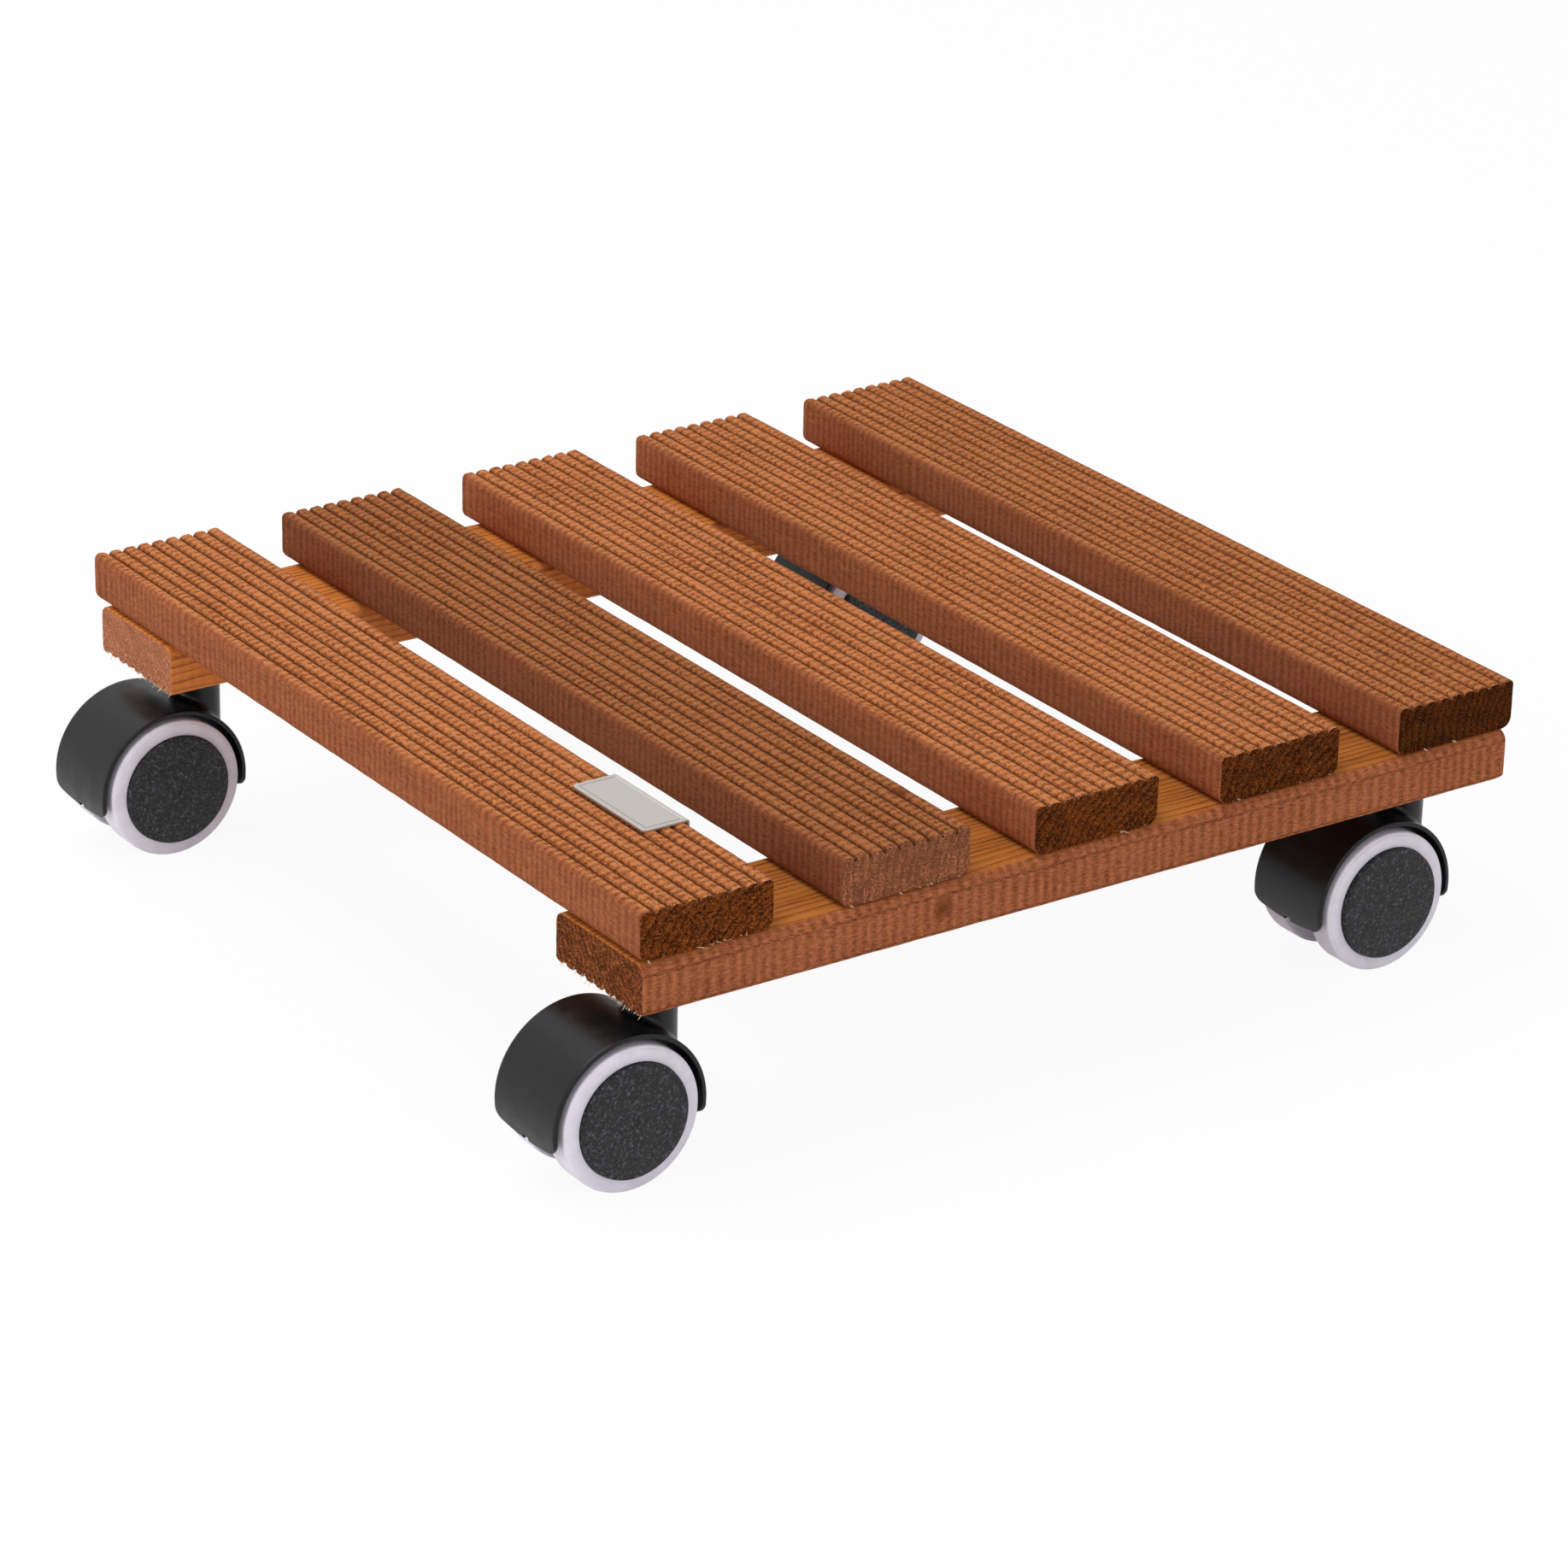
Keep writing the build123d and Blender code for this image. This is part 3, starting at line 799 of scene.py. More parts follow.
def board_piece(node, along_axis, up_sign, seed, sizes, material):
    """A worn board in place of its CAD node. It runs along one row axis, ridges up or down."""
    low, high = box_of(node)
    along, across = ("x", "y") if along_axis == "x" else ("y", "x")
    length = getattr(high - low, along)
    width = getattr(high - low, across)
    thickness = high.z - low.z
    start = getattr(low, along)
    middle = (getattr(low, across) + getattr(high, across)) / 2
    crown = high.z if up_sign > 0 else low.z
    outline = board_section(sizes, width, thickness)
    normals = inward_normals(outline)
    ridge_pitch = width / sizes.ridge_count
    half_mm = width / MM / 2
    stations = board_stations(length, sizes.station)
    knot = None
    if node in KNOTS:
        spot, across_mm, depth_mm = KNOTS[node]
        knot = Vector(((getattr(spot, along) - start) / MM, across_mm, depth_mm))
    pith = math.radians(35 + 20 * math.sin(seed * 2.3))
    to_pith = Vector((0.0, -math.cos(pith), math.sin(pith))) * PITH_DISTANCE
    shift = Vector((seed * 431.0, 0.0, 0.0)) + to_pith
    points, places, from_knot = [], [], []
    marks = {name: [] for name in BOARD_MARKS}

    def add_point(point, place, to_knot, **values):
        points.append(point)
        places.append(place)
        from_knot.append(to_knot)
        for name in BOARD_MARKS:
            marks[name].append(values.get(name, 0.0))

    for station in stations:
        from_end = min(station, length - station)
        chamfer = max(0.0, END_CHAMFER - from_end)
        for (side, depth), normal in zip(outline, normals):
            where = Vector((station / MM, side / MM, depth / MM))
            on_ridge = depth > -sizes.ridge_round * 0.9
            far_end = station > length / 2
            inset = chamfer + worn_depth(sizes, where, from_end, on_ridge, seed, far_end)
            point = [0.0, 0.0, crown + up_sign * (depth + normal.y * inset)]
            point["xy".index(along)] = start + station
            point["xy".index(across)] = middle + side + normal.x * inset
            ribbed = depth > -sizes.ridge_round - 0.01 * MM
            # The groove share grows with depth below the crowns; it carries stain and painted shade
            # of the hollows.
            hollow = min(1.0, max(0.0, -depth / sizes.ridge_round)) ** 0.6
            flank = ramp_between(abs(side) / MM, half_mm - 2.2, half_mm - 0.4) if ribbed else 1.0
            smooth = ramp_between(-depth, thickness - 0.6 * MM, thickness - 0.05 * MM)
            add_point(
                point, where + shift, where - knot if knot else FAR_AWAY,
                groove=hollow if ribbed else 0.0,
                flank=flank,
                smooth_side=max(smooth, flank * SMOOTH_FLANKS.get(node, 0.0)),
                ridge=seed * 13.7 + 3.1 * math.floor((side + width / 2) / ridge_pitch),
                board_tone=BOARD_TONES.get(node, 1.0),
            )
    columns = len(outline)
    faces = grid_faces(len(stations), columns, closed=True)
    for row, pale in zip((0, len(stations) - 1), PALE_ENDS.get(node, (0.0, 0.0))):
        first = len(points)
        for column in range(row * columns, (row + 1) * columns):
            add_point(
                list(points[column]), places[column], FAR_AWAY,
                end_face=1.0, pale_end=pale, board_tone=END_TONES.get(node, 1.0)
            )
        face = tuple(range(first, first + columns))
        faces.append(face if row else face[::-1])
    piece = add_piece(f"{node}_board", points, faces, material, "deck", [node], math.radians(50))
    give_attribute(piece, "board_place", places, "FLOAT_VECTOR")
    give_attribute(piece, "from_knot", from_knot, "FLOAT_VECTOR")
    for name in BOARD_MARKS:
        give_attribute(piece, name, marks[name])
    return piece


class CADDY_OT_slats(bpy.types.Operator):
    """Ribbed slats with worn ridges and torn ridge ends"""

    bl_idname = "caddy.slats"
    bl_label = "Slats"

    def execute(self, context):
        sizes = context.scene.caddy_boards
        wood = slat_wood(context.scene.caddy_finishes)
        for seed, node in enumerate(SLATS, 1):
            piece = board_piece(node, "x", 1, seed, sizes, wood)
        return {"FINISHED"}


class CADDY_OT_bearers(bpy.types.Operator):
    """Ribbed bearers, ridges down, under the ends of the slats"""

    bl_idname = "caddy.bearers"
    bl_label = "Bearers"

    def execute(self, context):
        sizes = context.scene.caddy_boards
        wood = bearer_wood(context.scene.caddy_finishes)
        for seed, node in enumerate(BEARERS, 11):
            piece = board_piece(node, "y", -1, seed, sizes, wood)
        return {"FINISHED"}


# Nameplate and screws


def dress_node(node, material):
    """Gives a CAD node that stays a material of its own."""
    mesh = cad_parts[node].data
    mesh.materials.clear()
    mesh.materials.append(material)


def plate_stations(length, sizes):
    """Distances along one side of the nameplate, close together at its edges and its border."""
    inset, width = sizes.border_inset, sizes.border_width
    near = [0.0, 0.04 * MM, 0.12 * MM, 0.3 * MM, 0.6 * MM, 1.0 * MM, inset - 0.06 * MM, inset]
    near += [inset + 0.06 * MM, inset + width - 0.06 * MM, inset + width, inset + width + 0.06 * MM]
    middle = [near[-1] + (length - 2 * near[-1]) * step / 12 for step in range(1, 12)]
    return near + middle + [length - place for place in reversed(near)]


def plate_top(from_edge, sizes):
    """How far the nameplate's face lies below its highest level, by the distance from its edge."""
    roll = 0.12 * MM
    if from_edge < roll:
        return roll - math.sqrt(max(0.0, roll**2 - (roll - from_edge) ** 2))
    if sizes.border_inset <= from_edge <= sizes.border_inset + sizes.border_width:
        return sizes.border_depth
    return 0.0


def nameplate_mesh(sizes):
    """Sheet with rounded outer corners and an engraved border, bent down along its inner side."""
    low, high = box_of("nameplate")
    length, width = high.x - low.x, high.y - low.y
    thickness = sizes.thickness
    under = high.z - thickness
    columns = plate_stations(width - thickness, sizes)
    bend = arc((high.y - thickness, under), thickness, 90, 0, 5)[1:]
    points = []
    for along in plate_stations(length, sizes):
        from_end = min(along, length - along)
        into_corner = max(0.0, sizes.corner - from_end)
        outer = sizes.corner - math.sqrt(max(0.0, sizes.corner**2 - into_corner**2))
        row = [(low.y + outer, under)]
        for column in columns:
            across = max(column, outer + min(column, 0.3 * MM))
            from_edge = min(from_end, across - outer, width - across)
            row.append((low.y + across, high.z - plate_top(from_edge, sizes)))
        inner = high.y - thickness
        row += bend + [(high.y, low.z), (inner, low.z), (inner, under)]
        points += [Vector((low.x + along, y, z)) for y, z in row]
    rows = len(points) // len(row)
    faces = grid_faces(rows, len(row), closed=True)
    faces.append(tuple(range(len(row)))[::-1])
    faces.append(tuple(range((rows - 1) * len(row), rows * len(row))))
    return points, faces


class CADDY_OT_nameplate(bpy.types.Operator):
    """Satin aluminium plate with an engraved border, bent over the first slat's side"""

    bl_idname = "caddy.nameplate"
    bl_label = "Nameplate"

    def execute(self, context):
        points, faces = nameplate_mesh(context.scene.caddy_nameplate)
        piece = add_piece(
            "bent_nameplate", points, faces, nameplate_metal(context.scene.caddy_finishes), "deck",
            ["nameplate"], math.radians(30)
        )
        return {"FINISHED"}


# Splinters and torn fibres


SPLINTERS_BY_SLAT = (12, 9, 4, 7, 3)


def sliver(foot, way, bend, length, width):
    """A thin three-sided splinter from its foot to its tip, bent to one side."""
    way = way.normalized()
    side = way.orthogonal().normalized()
    third = way.cross(side)
    points = []
    for share, girth in ((0.0, 1.0), (0.45, 0.8), (0.8, 0.45), (1.0, 0.05)):
        middle = foot + way * (length * share) + bend * (length * share**2)
        for corner in range(3):
            turn = math.tau * corner / 3
            out = side * math.cos(turn) + third * (0.45 * math.sin(turn))
            points.append(middle + out * (width * girth / 2))
    faces = grid_faces(4, 3, closed=True)
    return points, faces + [(2, 1, 0), (9, 10, 11)]


def scattered(seed):
    """Number from 0 to 1 that is always the same for a seed."""
    return math.modf(abs(math.sin(seed * 12.9898) * 43758.5453))[0]


def lying_splinters(node, count, seed):
    """Splinters left on the bearer in front of a slat's sawn end."""
    low, high = box_of(node)
    parts = []
    for number in range(count):
        pick = [scattered(seed + number * 5 + part) for part in range(5)]
        y = low.y + (high.y - low.y) * (0.06 + 0.88 * pick[0])
        foot = Vector((high.x - 0.1 * MM, y, low.z + (0.25 + 0.7 * pick[2]) * MM))
        turn = math.radians(-72 + 144 * pick[4])
        way = Vector((math.cos(turn), math.sin(turn), -0.25 * pick[1]))
        length = (0.5 + 1.6 * pick[3] ** 2) * MM / max(0.45, math.cos(turn))
        width = (0.4 + 0.4 * pick[3]) * MM
        parts.append(sliver(foot, way, Vector((0, 0, -0.12)), length, width))
    return parts


def hanging_fibres(node, seed, sizes):
    """Fibres torn from the ridges where the saw left a bearer's near end."""
    low, high = box_of(node)
    parts = []
    pitch = (high.x - low.x) / sizes.ridge_count
    for number in range(sizes.ridge_count * 5):
        pick = [scattered(seed + number * 7 + part) for part in range(5)]
        x = low.x + pitch * (number / 5 + 0.5 * pick[0])
        x = min(max(x, low.x + 1 * MM), high.x - 1 * MM)
        from_crown = abs((x - low.x) / pitch % 1.0 - 0.5) * 2
        rise = sizes.ridge_round * 0.9 * from_crown**2 + 0.9 * pick[1] ** 2 * MM
        foot = Vector((x, low.y + 0.1 * MM, low.z + 0.15 * MM + rise))
        way = Vector((0.6 * (pick[2] - 0.5), -0.5, -1.0))
        length = (0.5 + 1.6 * pick[3] ** 2) * MM
        bend = Vector((0.2 * (pick[4] - 0.5), -0.2, 0.1))
        parts.append(sliver(foot, way, bend, length, 0.3 * MM))
    return parts


def ridge_end_fibres(node, seed, sizes):
    """Short fibres that stand out of the grooves at a slat's sawn end."""
    low, high = box_of(node)
    parts = []
    pitch = (high.y - low.y) / sizes.ridge_count
    for number in range(sizes.ridge_count * 4):
        pick = [scattered(seed + number * 3 + part) for part in range(4)]
        y = low.y + pitch * (number / 4 + 0.2 * pick[0])
        from_crown = abs((number / 4 + 0.1) % 1.0 - 0.5) * 2
        depth = sizes.ridge_round * (0.15 + 0.75 * from_crown**2)
        foot = Vector((high.x - 0.1 * MM, min(y, high.y - 0.6 * MM), high.z - depth))
        way = Vector((1.0, 0.8 * (pick[1] - 0.5), 0.8 * pick[2]))
        length = (0.25 + 0.55 * pick[3] ** 2) * MM
        parts.append(sliver(foot, way, Vector((0, 0, 0.2)), length, 0.2 * MM))
    return parts


class CADDY_OT_splinters(bpy.types.Operator):
    """Splinters in front of the slats' ends and fibres torn at the saw cuts"""

    bl_idname = "caddy.splinters"
    bl_label = "Splinters"

    def execute(self, context):
        sizes = context.scene.caddy_boards
        wood = splinter_wood(context.scene.caddy_finishes)
        parts = []
        for number, (node, count) in enumerate(zip(SLATS, SPLINTERS_BY_SLAT)):
            parts += lying_splinters(node, count, 40 * number + 3)
            parts += ridge_end_fibres(node, 90 * number + 5, sizes)
        for number, node in enumerate(BEARERS):
            parts += hanging_fibres(node, 70 * number + 11, sizes)
        points, faces = join_parts(*parts)
        add_piece("torn_fibres", points, faces, wood, "deck", [])
        return {"FINISHED"}


class CADDY_OT_screws(bpy.types.Operator):
    """Screws from the bearers into the slats and from the caster plates into the bearers"""

    bl_idname = "caddy.screws"
    bl_label = "Screws"

    def execute(self, context):
        dress_node("slat_screws", zinc_steel(context.scene.caddy_finishes))
        dress_node("caster_screws", coated_steel(context.scene.caddy_finishes))
        return {"FINISHED"}


# Casters


class CADDY_OT_mountings(bpy.types.Operator):
    """Mounting plates, swivel pins, grip rings and axles"""

    bl_idname = "caddy.mountings"
    bl_label = "Mountings"

    def execute(self, context):
        for caster in CASTERS:
            dress_node(f"{caster}_plate", coated_steel(context.scene.caddy_finishes))
            for part in ("pin", "ring", "axle"):
                dress_node(f"{caster}_{part}", zinc_steel(context.scene.caddy_finishes))
        return {"FINISHED"}


def skirt_height(sizes, side):
    """Height of the skirt's lower edge from the axle, at a distance to the side of the middle."""
    half = HOOD_HALF_WIDTH
    bow = sizes.skirt_bow * (1 - (side / half) ** 2)
    low = -sizes.skirt_drop - bow
    into_corner = abs(side) - (half - sizes.skirt_corner)
    if into_corner > 0:
        low += sizes.skirt_corner - math.sqrt(max(0.0, sizes.skirt_corner**2 - into_corner**2))
    return low


def hood_sides(sizes):
    """Stations across the hood: close together at the rims, the corners and the notch."""
    half = HOOD_HALF_WIDTH
    corner = half - sizes.skirt_corner
    notch = sizes.notch_width / 2
    one_side = [0.0, notch - 0.05 * MM, notch + 0.05 * MM]
    one_side += [notch + (corner - notch) * step / 4 for step in range(1, 5)]
    for angle in (20, 38, 54, 67, 78):
        one_side.append(corner + sizes.skirt_corner * math.sin(math.radians(angle)))
    return [-side for side in reversed(one_side[1:])] + one_side


def hood_shell(sizes):
    """Shell of the hood round an axle along X at the origin, as a closed grid."""
    half = HOOD_HALF_WIDTH
    inner = HOOD_RADIUS - sizes.hood_wall
    sides = hood_sides(sizes)
    outer_row = [(side, HOOD_RADIUS) for side in sides if abs(side) < half - sizes.rim_round]
    for angle in (35, 65, 90):
        side = half - sizes.rim_round * (1 - math.sin(math.radians(angle)))
        drop = sizes.rim_round * (1 - math.cos(math.radians(angle)))
        outer_row.append((side, HOOD_RADIUS - drop))
        outer_row.insert(0, (-side, HOOD_RADIUS - drop))
    inner_row = [(side, inner) for side, radius in outer_row]
    section = outer_row + inner_row[::-1]
    steps = 84
    edge_steps = [0.0, 0.35 * MM / HOOD_RADIUS, 0.8 * MM / HOOD_RADIUS]
    points = []
    for step in range(steps + 1):
        for side, radius in section:
            front = skirt_height(sizes, side)
            rear = front
            if abs(side) < sizes.notch_width / 2:
                rear += sizes.notch_height
            start = math.asin(front / HOOD_RADIUS)
            end = math.pi - math.asin(rear / HOOD_RADIUS)
            if step < len(edge_steps):
                angle = start + edge_steps[step]
            elif step > steps - len(edge_steps):
                angle = end - edge_steps[steps - step]
            else:
                angle = start + (end - start) * step / steps
            tuck = 0.22 * MM if step in (0, steps) else 0.0
            reach = radius - tuck if radius > inner + 0.4 * MM else radius + tuck
            points.append(Vector((side, reach * math.cos(angle), reach * math.sin(angle))))
    columns = len(section)
    faces = grid_faces(steps + 1, columns, closed=True)
    last = steps * columns
    across = len(outer_row)
    for base in (0, last):
        for column in range(across - 1):
            mirror = columns - 1 - column
            faces.append((base + column, base + column + 1, base + mirror - 1, base + mirror))
    return points, faces


def hood_neck(sizes, top, bore):
    """Neck with a rolling-ball fillet at its foot, a chamfered top and the pin's bore."""
    segments = 72
    foot_steps = 7
    bore_depth = 8 * MM
    sunk = 0.15 * MM
    foot = sizes.neck_foot
    radius = sizes.neck_radius
    middle = Vector((0, CASTER_TRAIL, 0))
    columns = []
    for segment in range(segments):
        turn = math.tau * segment / segments
        out = Vector((math.cos(turn), math.sin(turn), 0))
        ball = middle + out * (radius + foot)
        ball.z = math.sqrt((HOOD_RADIUS + foot) ** 2 - ball.y**2)
        to_shell = Vector((0, -ball.y, -ball.z)).normalized()
        column = [
            ball + to_shell.slerp(-out, step / foot_steps) * foot for step in range(foot_steps + 1)
        ]
        column[0] += to_shell * sunk
        rise = top - 0.5 * MM - ball.z
        column += [middle + out * radius + UP * (ball.z + rise * step / 4) for step in range(1, 5)]
        column += [
            middle + out * reach + UP * height
            for reach, height in (
                (radius - 0.15 * MM, top - 0.15 * MM),
                (radius - 0.5 * MM, top),
                (bore + 0.4 * MM, top),
                (bore, top - 0.4 * MM),
                (bore, top - bore_depth),
            )
        ]
        columns.append(column)
    points = [point for row in zip(*columns) for point in row]
    return points, grid_faces(len(columns[0]), segments, closed=True)


def hood_web(sizes):
    """Web and axle boss between the wheels, as one outline carried across."""
    inner = HOOD_RADIUS - sizes.hood_wall / 2
    boss = sizes.boss_radius
    drop = sizes.web_drop
    top_angle = math.degrees(math.acos(-boss / inner))
    front_angle = -math.degrees(math.asin(drop / inner))
    boss_angle = -math.degrees(math.asin(drop / boss))
    outline = arc((0, 0), inner, top_angle, front_angle, 36)
    outline += arc((0, 0), boss, boss_angle, -180, 24)
    points = []
    for side, inset in ((-1, 0.35), (-1, 0.0), (1, 0.0), (1, 0.35)):
        for along, height in outline:
            shrink = 1 - inset * MM / max(boss, math.hypot(along, height))
            reach = sizes.web_half_width - (0.0 if inset else 0.35 * MM)
            points.append(Vector((side * reach, along * shrink, height * shrink)))
    columns = len(outline)
    faces = grid_faces(4, columns, closed=True)
    faces.append(tuple(range(columns))[::-1])
    faces.append(tuple(range(3 * columns, 4 * columns)))
    return points, faces


class CADDY_OT_hoods(bpy.types.Operator):
    """Moulded hoods with a bowed skirt, a neck with a filleted foot, web and boss"""

    bl_idname = "caddy.hoods"
    bl_label = "Hoods"

    def execute(self, context):
        sizes = context.scene.caddy_casters
        plastic = hood_plastic(context.scene.caddy_finishes)
        top = box_of("front_left_hood")[1].z - middle_of("front_left_axle").z
        bore = size_of("front_left_axle").y / 2 + 1.05 * MM
        points, faces = join_parts(hood_shell(sizes), hood_neck(sizes, top, bore), hood_web(sizes))
        for caster in CASTERS:
            spot = middle_of(f"{caster}_axle")
            piece = add_piece(
                f"{caster}_moulded_hood", [spot + point for point in points], faces, plastic,
                f"{caster}_swivel", [f"{caster}_hood"], math.radians(35)
            )
        return {"FINISHED"}


def tread_outline(sizes):
    """Section of the tread: radius and distance from the wheel's inner face."""
    rise = 0.4 * MM
    seat_depth = 1.2 * MM
    fall = 0.25 * MM
    face = size_of("front_left_outer_tread").x - rise
    inside = TREAD_RADIUS - 4.5 * MM
    lip = TREAD_RADIUS - 5.1 * MM
    step = TREAD_RADIUS - 1.0 * MM
    shoulder = sizes.tread_round
    middle = TREAD_RADIUS - shoulder
    outline = [(inside, 0.0)]
    outline += arc((middle, shoulder), shoulder, -90, 0, 6)
    outline += arc((middle, face - fall - shoulder), shoulder, 0, 82, 6)
    outline += [
        (step + 0.08 * MM, face - 0.24 * MM),
        (step, face - 0.22 * MM),
        (step - 0.06 * MM, face - 0.02 * MM),
        (step - 0.16 * MM, face + 0.02 * MM),
        (lip + 0.25 * MM, face + rise - 0.03 * MM),
        (lip + 0.05 * MM, face + rise - 0.06 * MM),
        (lip, face + rise - 0.2 * MM),
        (lip, face - seat_depth),
        (inside, face - seat_depth),
    ]
    return outline


def cap_outline(sizes):
    """Section of the hub cap: radius and distance from its innermost face."""
    dome = 0.7 * MM
    wall = 1.6 * MM
    flange = 1.2 * MM
    spigot = CAP_RADIUS - 1.7 * MM
    bore = CAP_RADIUS - 2.9 * MM
    gate = 1.1 * MM
    axis = 0.0001 * MM
    edge = size_of("front_left_outer_cap").x - dome
    outline = [(axis, edge - wall), (bore, edge - wall), (bore, 0.0)]
    outline += [(spigot, 0.0), (spigot, flange), (CAP_RADIUS, flange)]
    rounding = sizes.cap_round
    outline += arc((CAP_RADIUS - rounding, edge - rounding), rounding, 0, 80, 5)
    for share in (0.95, 0.88, 0.8, 0.7, 0.58, 0.45, 0.3, 0.16):
        outline.append((CAP_RADIUS * share, edge + dome * (1 - share**2)))
    outline.append((gate + 0.1 * MM, edge + dome * 0.998))
    outline.append((gate, edge + dome - 0.12 * MM))
    outline.append((axis, edge + dome - 0.14 * MM))
    return outline


def on_wheel(node, points):
    """Turned points stood on the axle: their height runs outward from the node's inner face."""
    low, high = box_of(node)
    axle = middle_of(node.rsplit("_", 2)[0] + "_axle")
    outward = 1 if (low.x + high.x) / 2 > axle.x else -1
    face = low.x if outward > 0 else high.x
    return [
        Vector((face + outward * point.z, axle.y + point.y, axle.z + point.x)) for point in points
    ]


class CADDY_OT_wheels(bpy.types.Operator):
    """Treads and hub caps turned from their sections, on the wheel cores"""

    bl_idname = "caddy.wheels"
    bl_label = "Wheels"

    def execute(self, context):
        sizes = context.scene.caddy_casters
        colours = context.scene.caddy_finishes
        tread_points, tread_faces = lathe(tread_outline(sizes), 120)
        cap_points, cap_faces = lathe(cap_outline(sizes), 96)
        for caster in CASTERS:
            for side in ("outer", "inner"):
                wheel = f"{caster}_{side}"
                dress_node(f"{wheel}_core", core_plastic(colours))
                tread = add_piece(
                    f"{wheel}_soft_tread", on_wheel(f"{wheel}_tread", tread_points), tread_faces,
                    tread_material(colours), f"{wheel}_wheel", [f"{wheel}_tread"], math.radians(50)
                )
                cap = add_piece(
                    f"{wheel}_hub_cap", on_wheel(f"{wheel}_cap", cap_points), cap_faces,
                    cap_plastic(colours), f"{wheel}_wheel", [f"{wheel}_cap"], math.radians(50)
                )
        return {"FINISHED"}


# Stage: floor, world, lights and camera


def white_to_camera(tree, shader_output, share):
    """Lays plain white over a shader for what the camera, gloss and glass see."""
    path = put(tree, "ShaderNodeLightPath")
    seen = calc(tree, "MAXIMUM", path.outputs["Is Camera Ray"], path.outputs["Is Glossy Ray"])
    seen = calc(tree, "MAXIMUM", seen, path.outputs["Is Transmission Ray"])
    glow = put(tree, "ShaderNodeEmission", {"Color": (1, 1, 1, 1), "Strength": 1.0})
    mix = put(tree, "ShaderNodeMixShader", {0: times(tree, seen, share)})
    tree.links.new(shader_output, mix.inputs[1])
    tree.links.new(glow.outputs[0], mix.inputs[2])
    return mix.outputs[0]


def add_floor():
    """A wide pale floor under the wheels."""
    reach = 6.0
    mesh = bpy.data.meshes.new("studio_floor")
    corners = [(-reach, -reach), (reach, -reach), (reach, reach), (-reach, reach)]
    mesh.from_pydata([(x, y, FLOOR_LEVEL) for x, y in corners], [], [(0, 1, 2, 3)])
    floor = bpy.data.objects.new("studio_floor", mesh)
    bpy.context.scene.collection.objects.link(floor)
    material, tree, shader, _ = new_material("Studio floor", Roughness=0.9)
    shader.inputs["Base Color"].default_value = (0.9, 0.9, 0.9, 1)
    out = tree.nodes["Material Output"]
    tree.links.new(white_to_camera(tree, shader.outputs[0], 0.93), out.inputs[0])
    mesh.materials.append(material)


def add_world():
    world = bpy.data.worlds.new("Studio world")
    bpy.context.scene.world = world
    world.use_nodes = True
    tree = world.node_tree
    soft = tree.nodes["Background"]
    soft.inputs["Color"].default_value = (1, 1, 1, 1)
    soft.inputs["Strength"].default_value = 0.55
    out = tree.nodes["World Output"]
    tree.links.new(white_to_camera(tree, soft.outputs[0], 1.0), out.inputs[0])


def add_lamp(name, spot, target, size, power):
    """A soft square lamp that faces a point."""
    lamp = bpy.data.lights.new(name, "AREA")
    lamp.size = size
    lamp.energy = power
    holder = bpy.data.objects.new(name, lamp)
    holder.location = spot
    holder.rotation_euler = (Vector(target) - Vector(spot)).to_track_quat("-Z", "Y").to_euler()
    bpy.context.scene.collection.objects.link(holder)


def add_camera(studio):
    """The camera, aimed at its target from the given angle and distance."""
    level = Vector((math.cos(studio.camera_azimuth), math.sin(studio.camera_azimuth), 0))
    down = math.sin(studio.camera_elevation)
    forward = level * math.cos(studio.camera_elevation) - UP * down
    lens = bpy.data.cameras.new("camera")
    lens.lens = studio.lens
    lens.sensor_width = 36
    lens.clip_end = 50
    camera = bpy.data.objects.new("camera", lens)
    turn = forward.to_track_quat("-Z", "Y").to_matrix().to_4x4()
    tilt = Matrix.Rotation(studio.camera_roll, 4, "Z")
    place = Matrix.Translation(Vector(studio.camera_target) - forward * studio.camera_distance)
    camera.matrix_world = place @ turn @ tilt
    bpy.context.scene.collection.objects.link(camera)
    bpy.context.scene.camera = camera


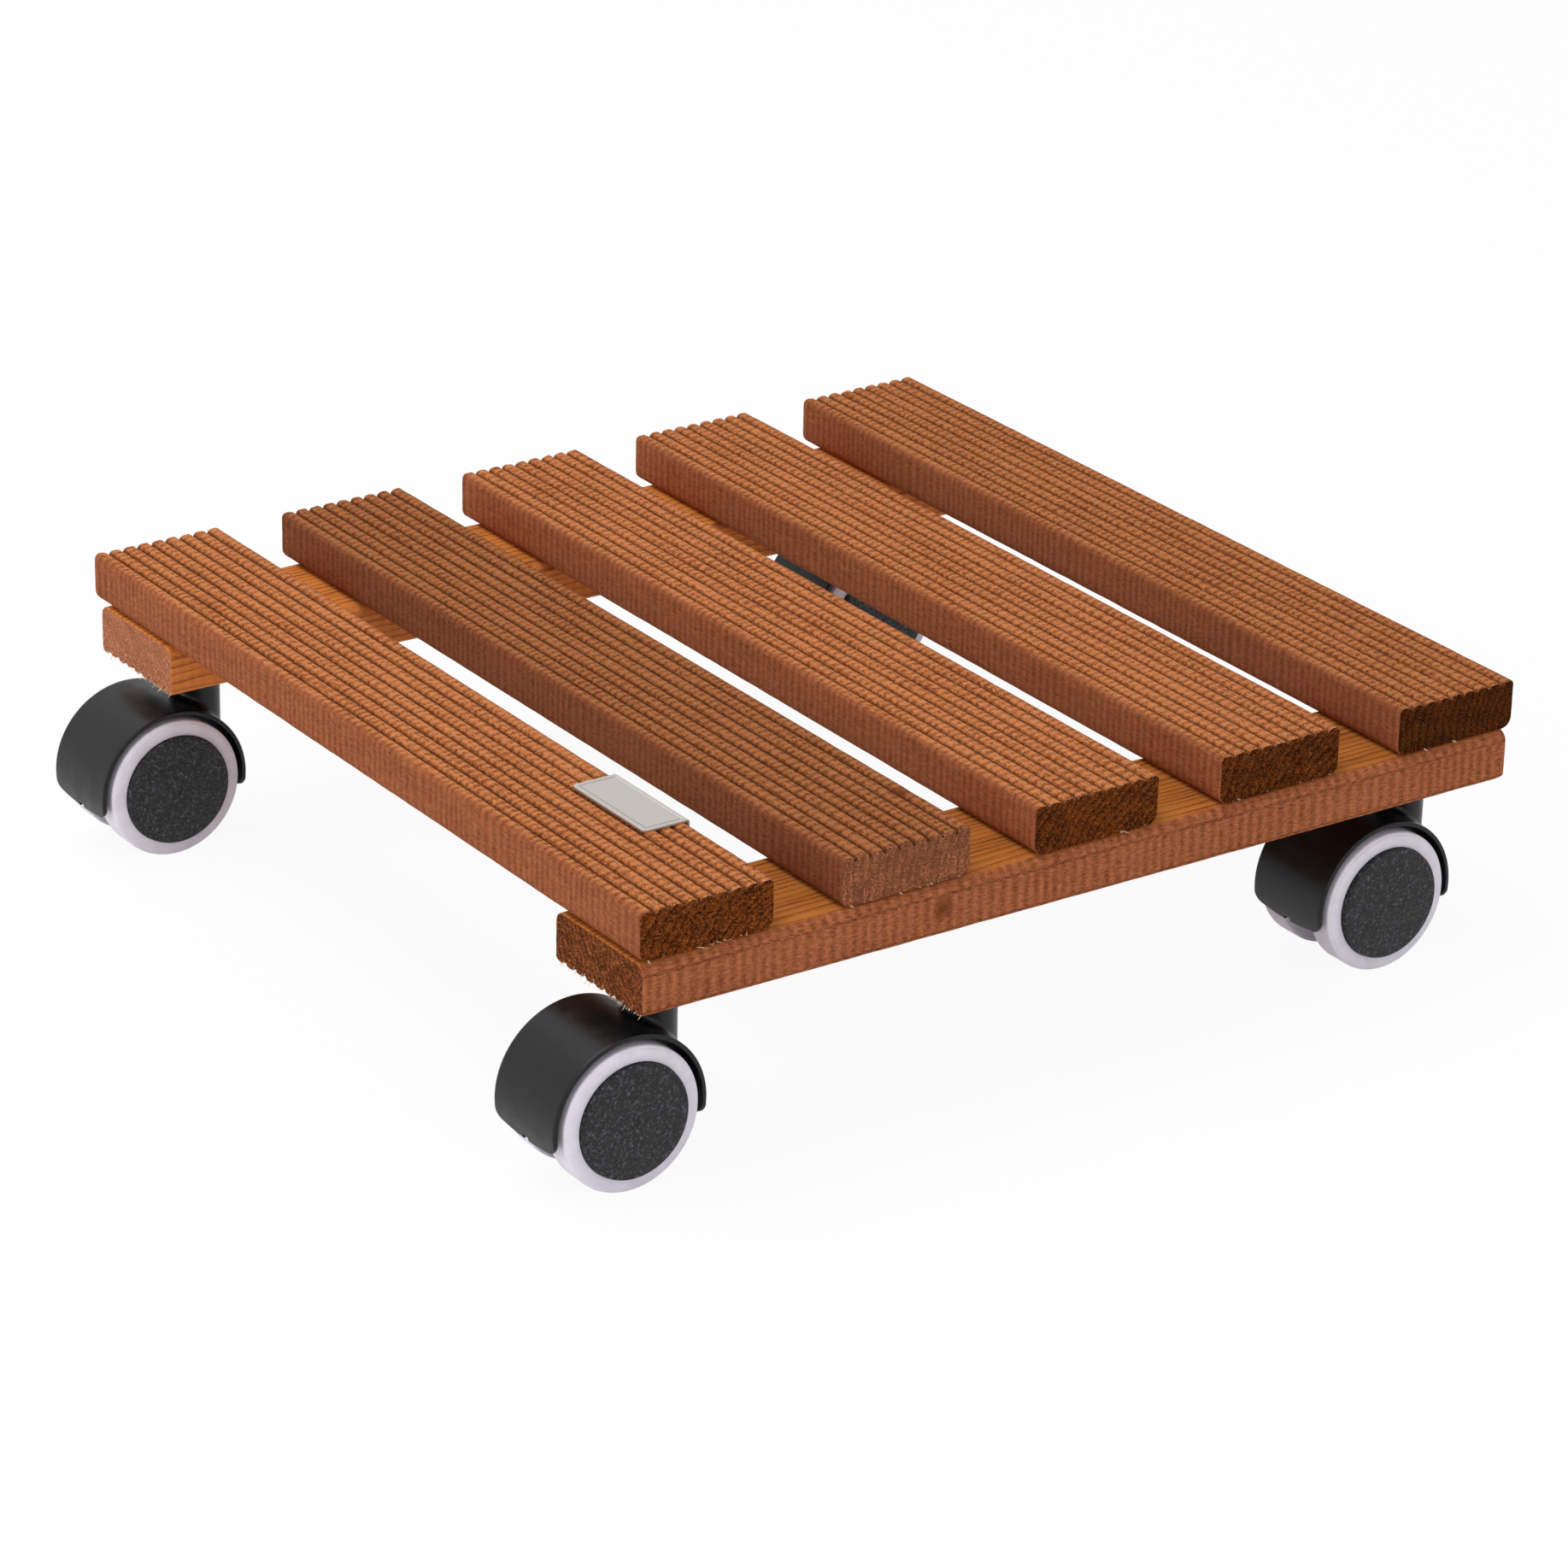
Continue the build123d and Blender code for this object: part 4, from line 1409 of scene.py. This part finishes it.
class CADDY_OT_studio(bpy.types.Operator):
    """Pale floor, soft lamps and the camera"""

    bl_idname = "caddy.studio"
    bl_label = "Studio"

    def execute(self, context):
        add_floor()
        add_world()
        add_lamp("top_softbox", (-0.6, -0.6, 2.2), (0, 0, 0), 1.4, 24)
        add_lamp("left_softbox", (0.4, -2.4, 1.2), (0, 0, 0), 1.0, 13)
        add_lamp("front_softbox", (2.6, -0.5, 1.0), (0, 0, 0), 1.2, 8)
        add_camera(context.scene.caddy_studio)
        context.scene.view_settings.view_transform = "Standard"
        return {"FINISHED"}


class CADDY_PT_panel(bpy.types.Panel):
    """Pieces of the plant caddy and its studio"""

    bl_idname = "CADDY_PT_panel"
    bl_label = "Plant Caddy"
    bl_space_type = "VIEW_3D"
    bl_region_type = "UI"
    bl_category = "Plant Caddy"

    def draw(self, context):
        for operator in OPERATORS:
            self.layout.operator(operator.bl_idname)
        for name in SETTINGS:
            settings = getattr(context.scene, name)
            column = self.layout.column()
            for size in settings.__annotations__:
                column.prop(settings, size)


OPERATORS = (
    CADDY_OT_slats,
    CADDY_OT_bearers,
    CADDY_OT_nameplate,
    CADDY_OT_splinters,
    CADDY_OT_screws,
    CADDY_OT_mountings,
    CADDY_OT_hoods,
    CADDY_OT_wheels,
    CADDY_OT_studio,
)
SETTINGS = {
    "caddy_boards": BoardSizes,
    "caddy_nameplate": NameplateSizes,
    "caddy_casters": CasterSizes,
    "caddy_finishes": Finishes,
    "caddy_studio": StudioSettings,
}


def register():
    for kind in (*SETTINGS.values(), *OPERATORS, CADDY_PT_panel):
        bpy.utils.register_class(kind)
    for name, kind in SETTINGS.items():
        setattr(bpy.types.Scene, name, bpy.props.PointerProperty(type=kind))


def unregister():
    for name in SETTINGS:
        delattr(bpy.types.Scene, name)
    for kind in (CADDY_PT_panel, *reversed(OPERATORS), *reversed(SETTINGS.values())):
        bpy.utils.unregister_class(kind)


def main():
    register()
    bpy.ops.caddy.slats()
    bpy.ops.caddy.bearers()
    bpy.ops.caddy.nameplate()
    bpy.ops.caddy.splinters()
    bpy.ops.caddy.screws()
    bpy.ops.caddy.mountings()
    bpy.ops.caddy.hoods()
    bpy.ops.caddy.wheels()
    bpy.ops.caddy.studio()


if __name__ == "__main__":
    main()
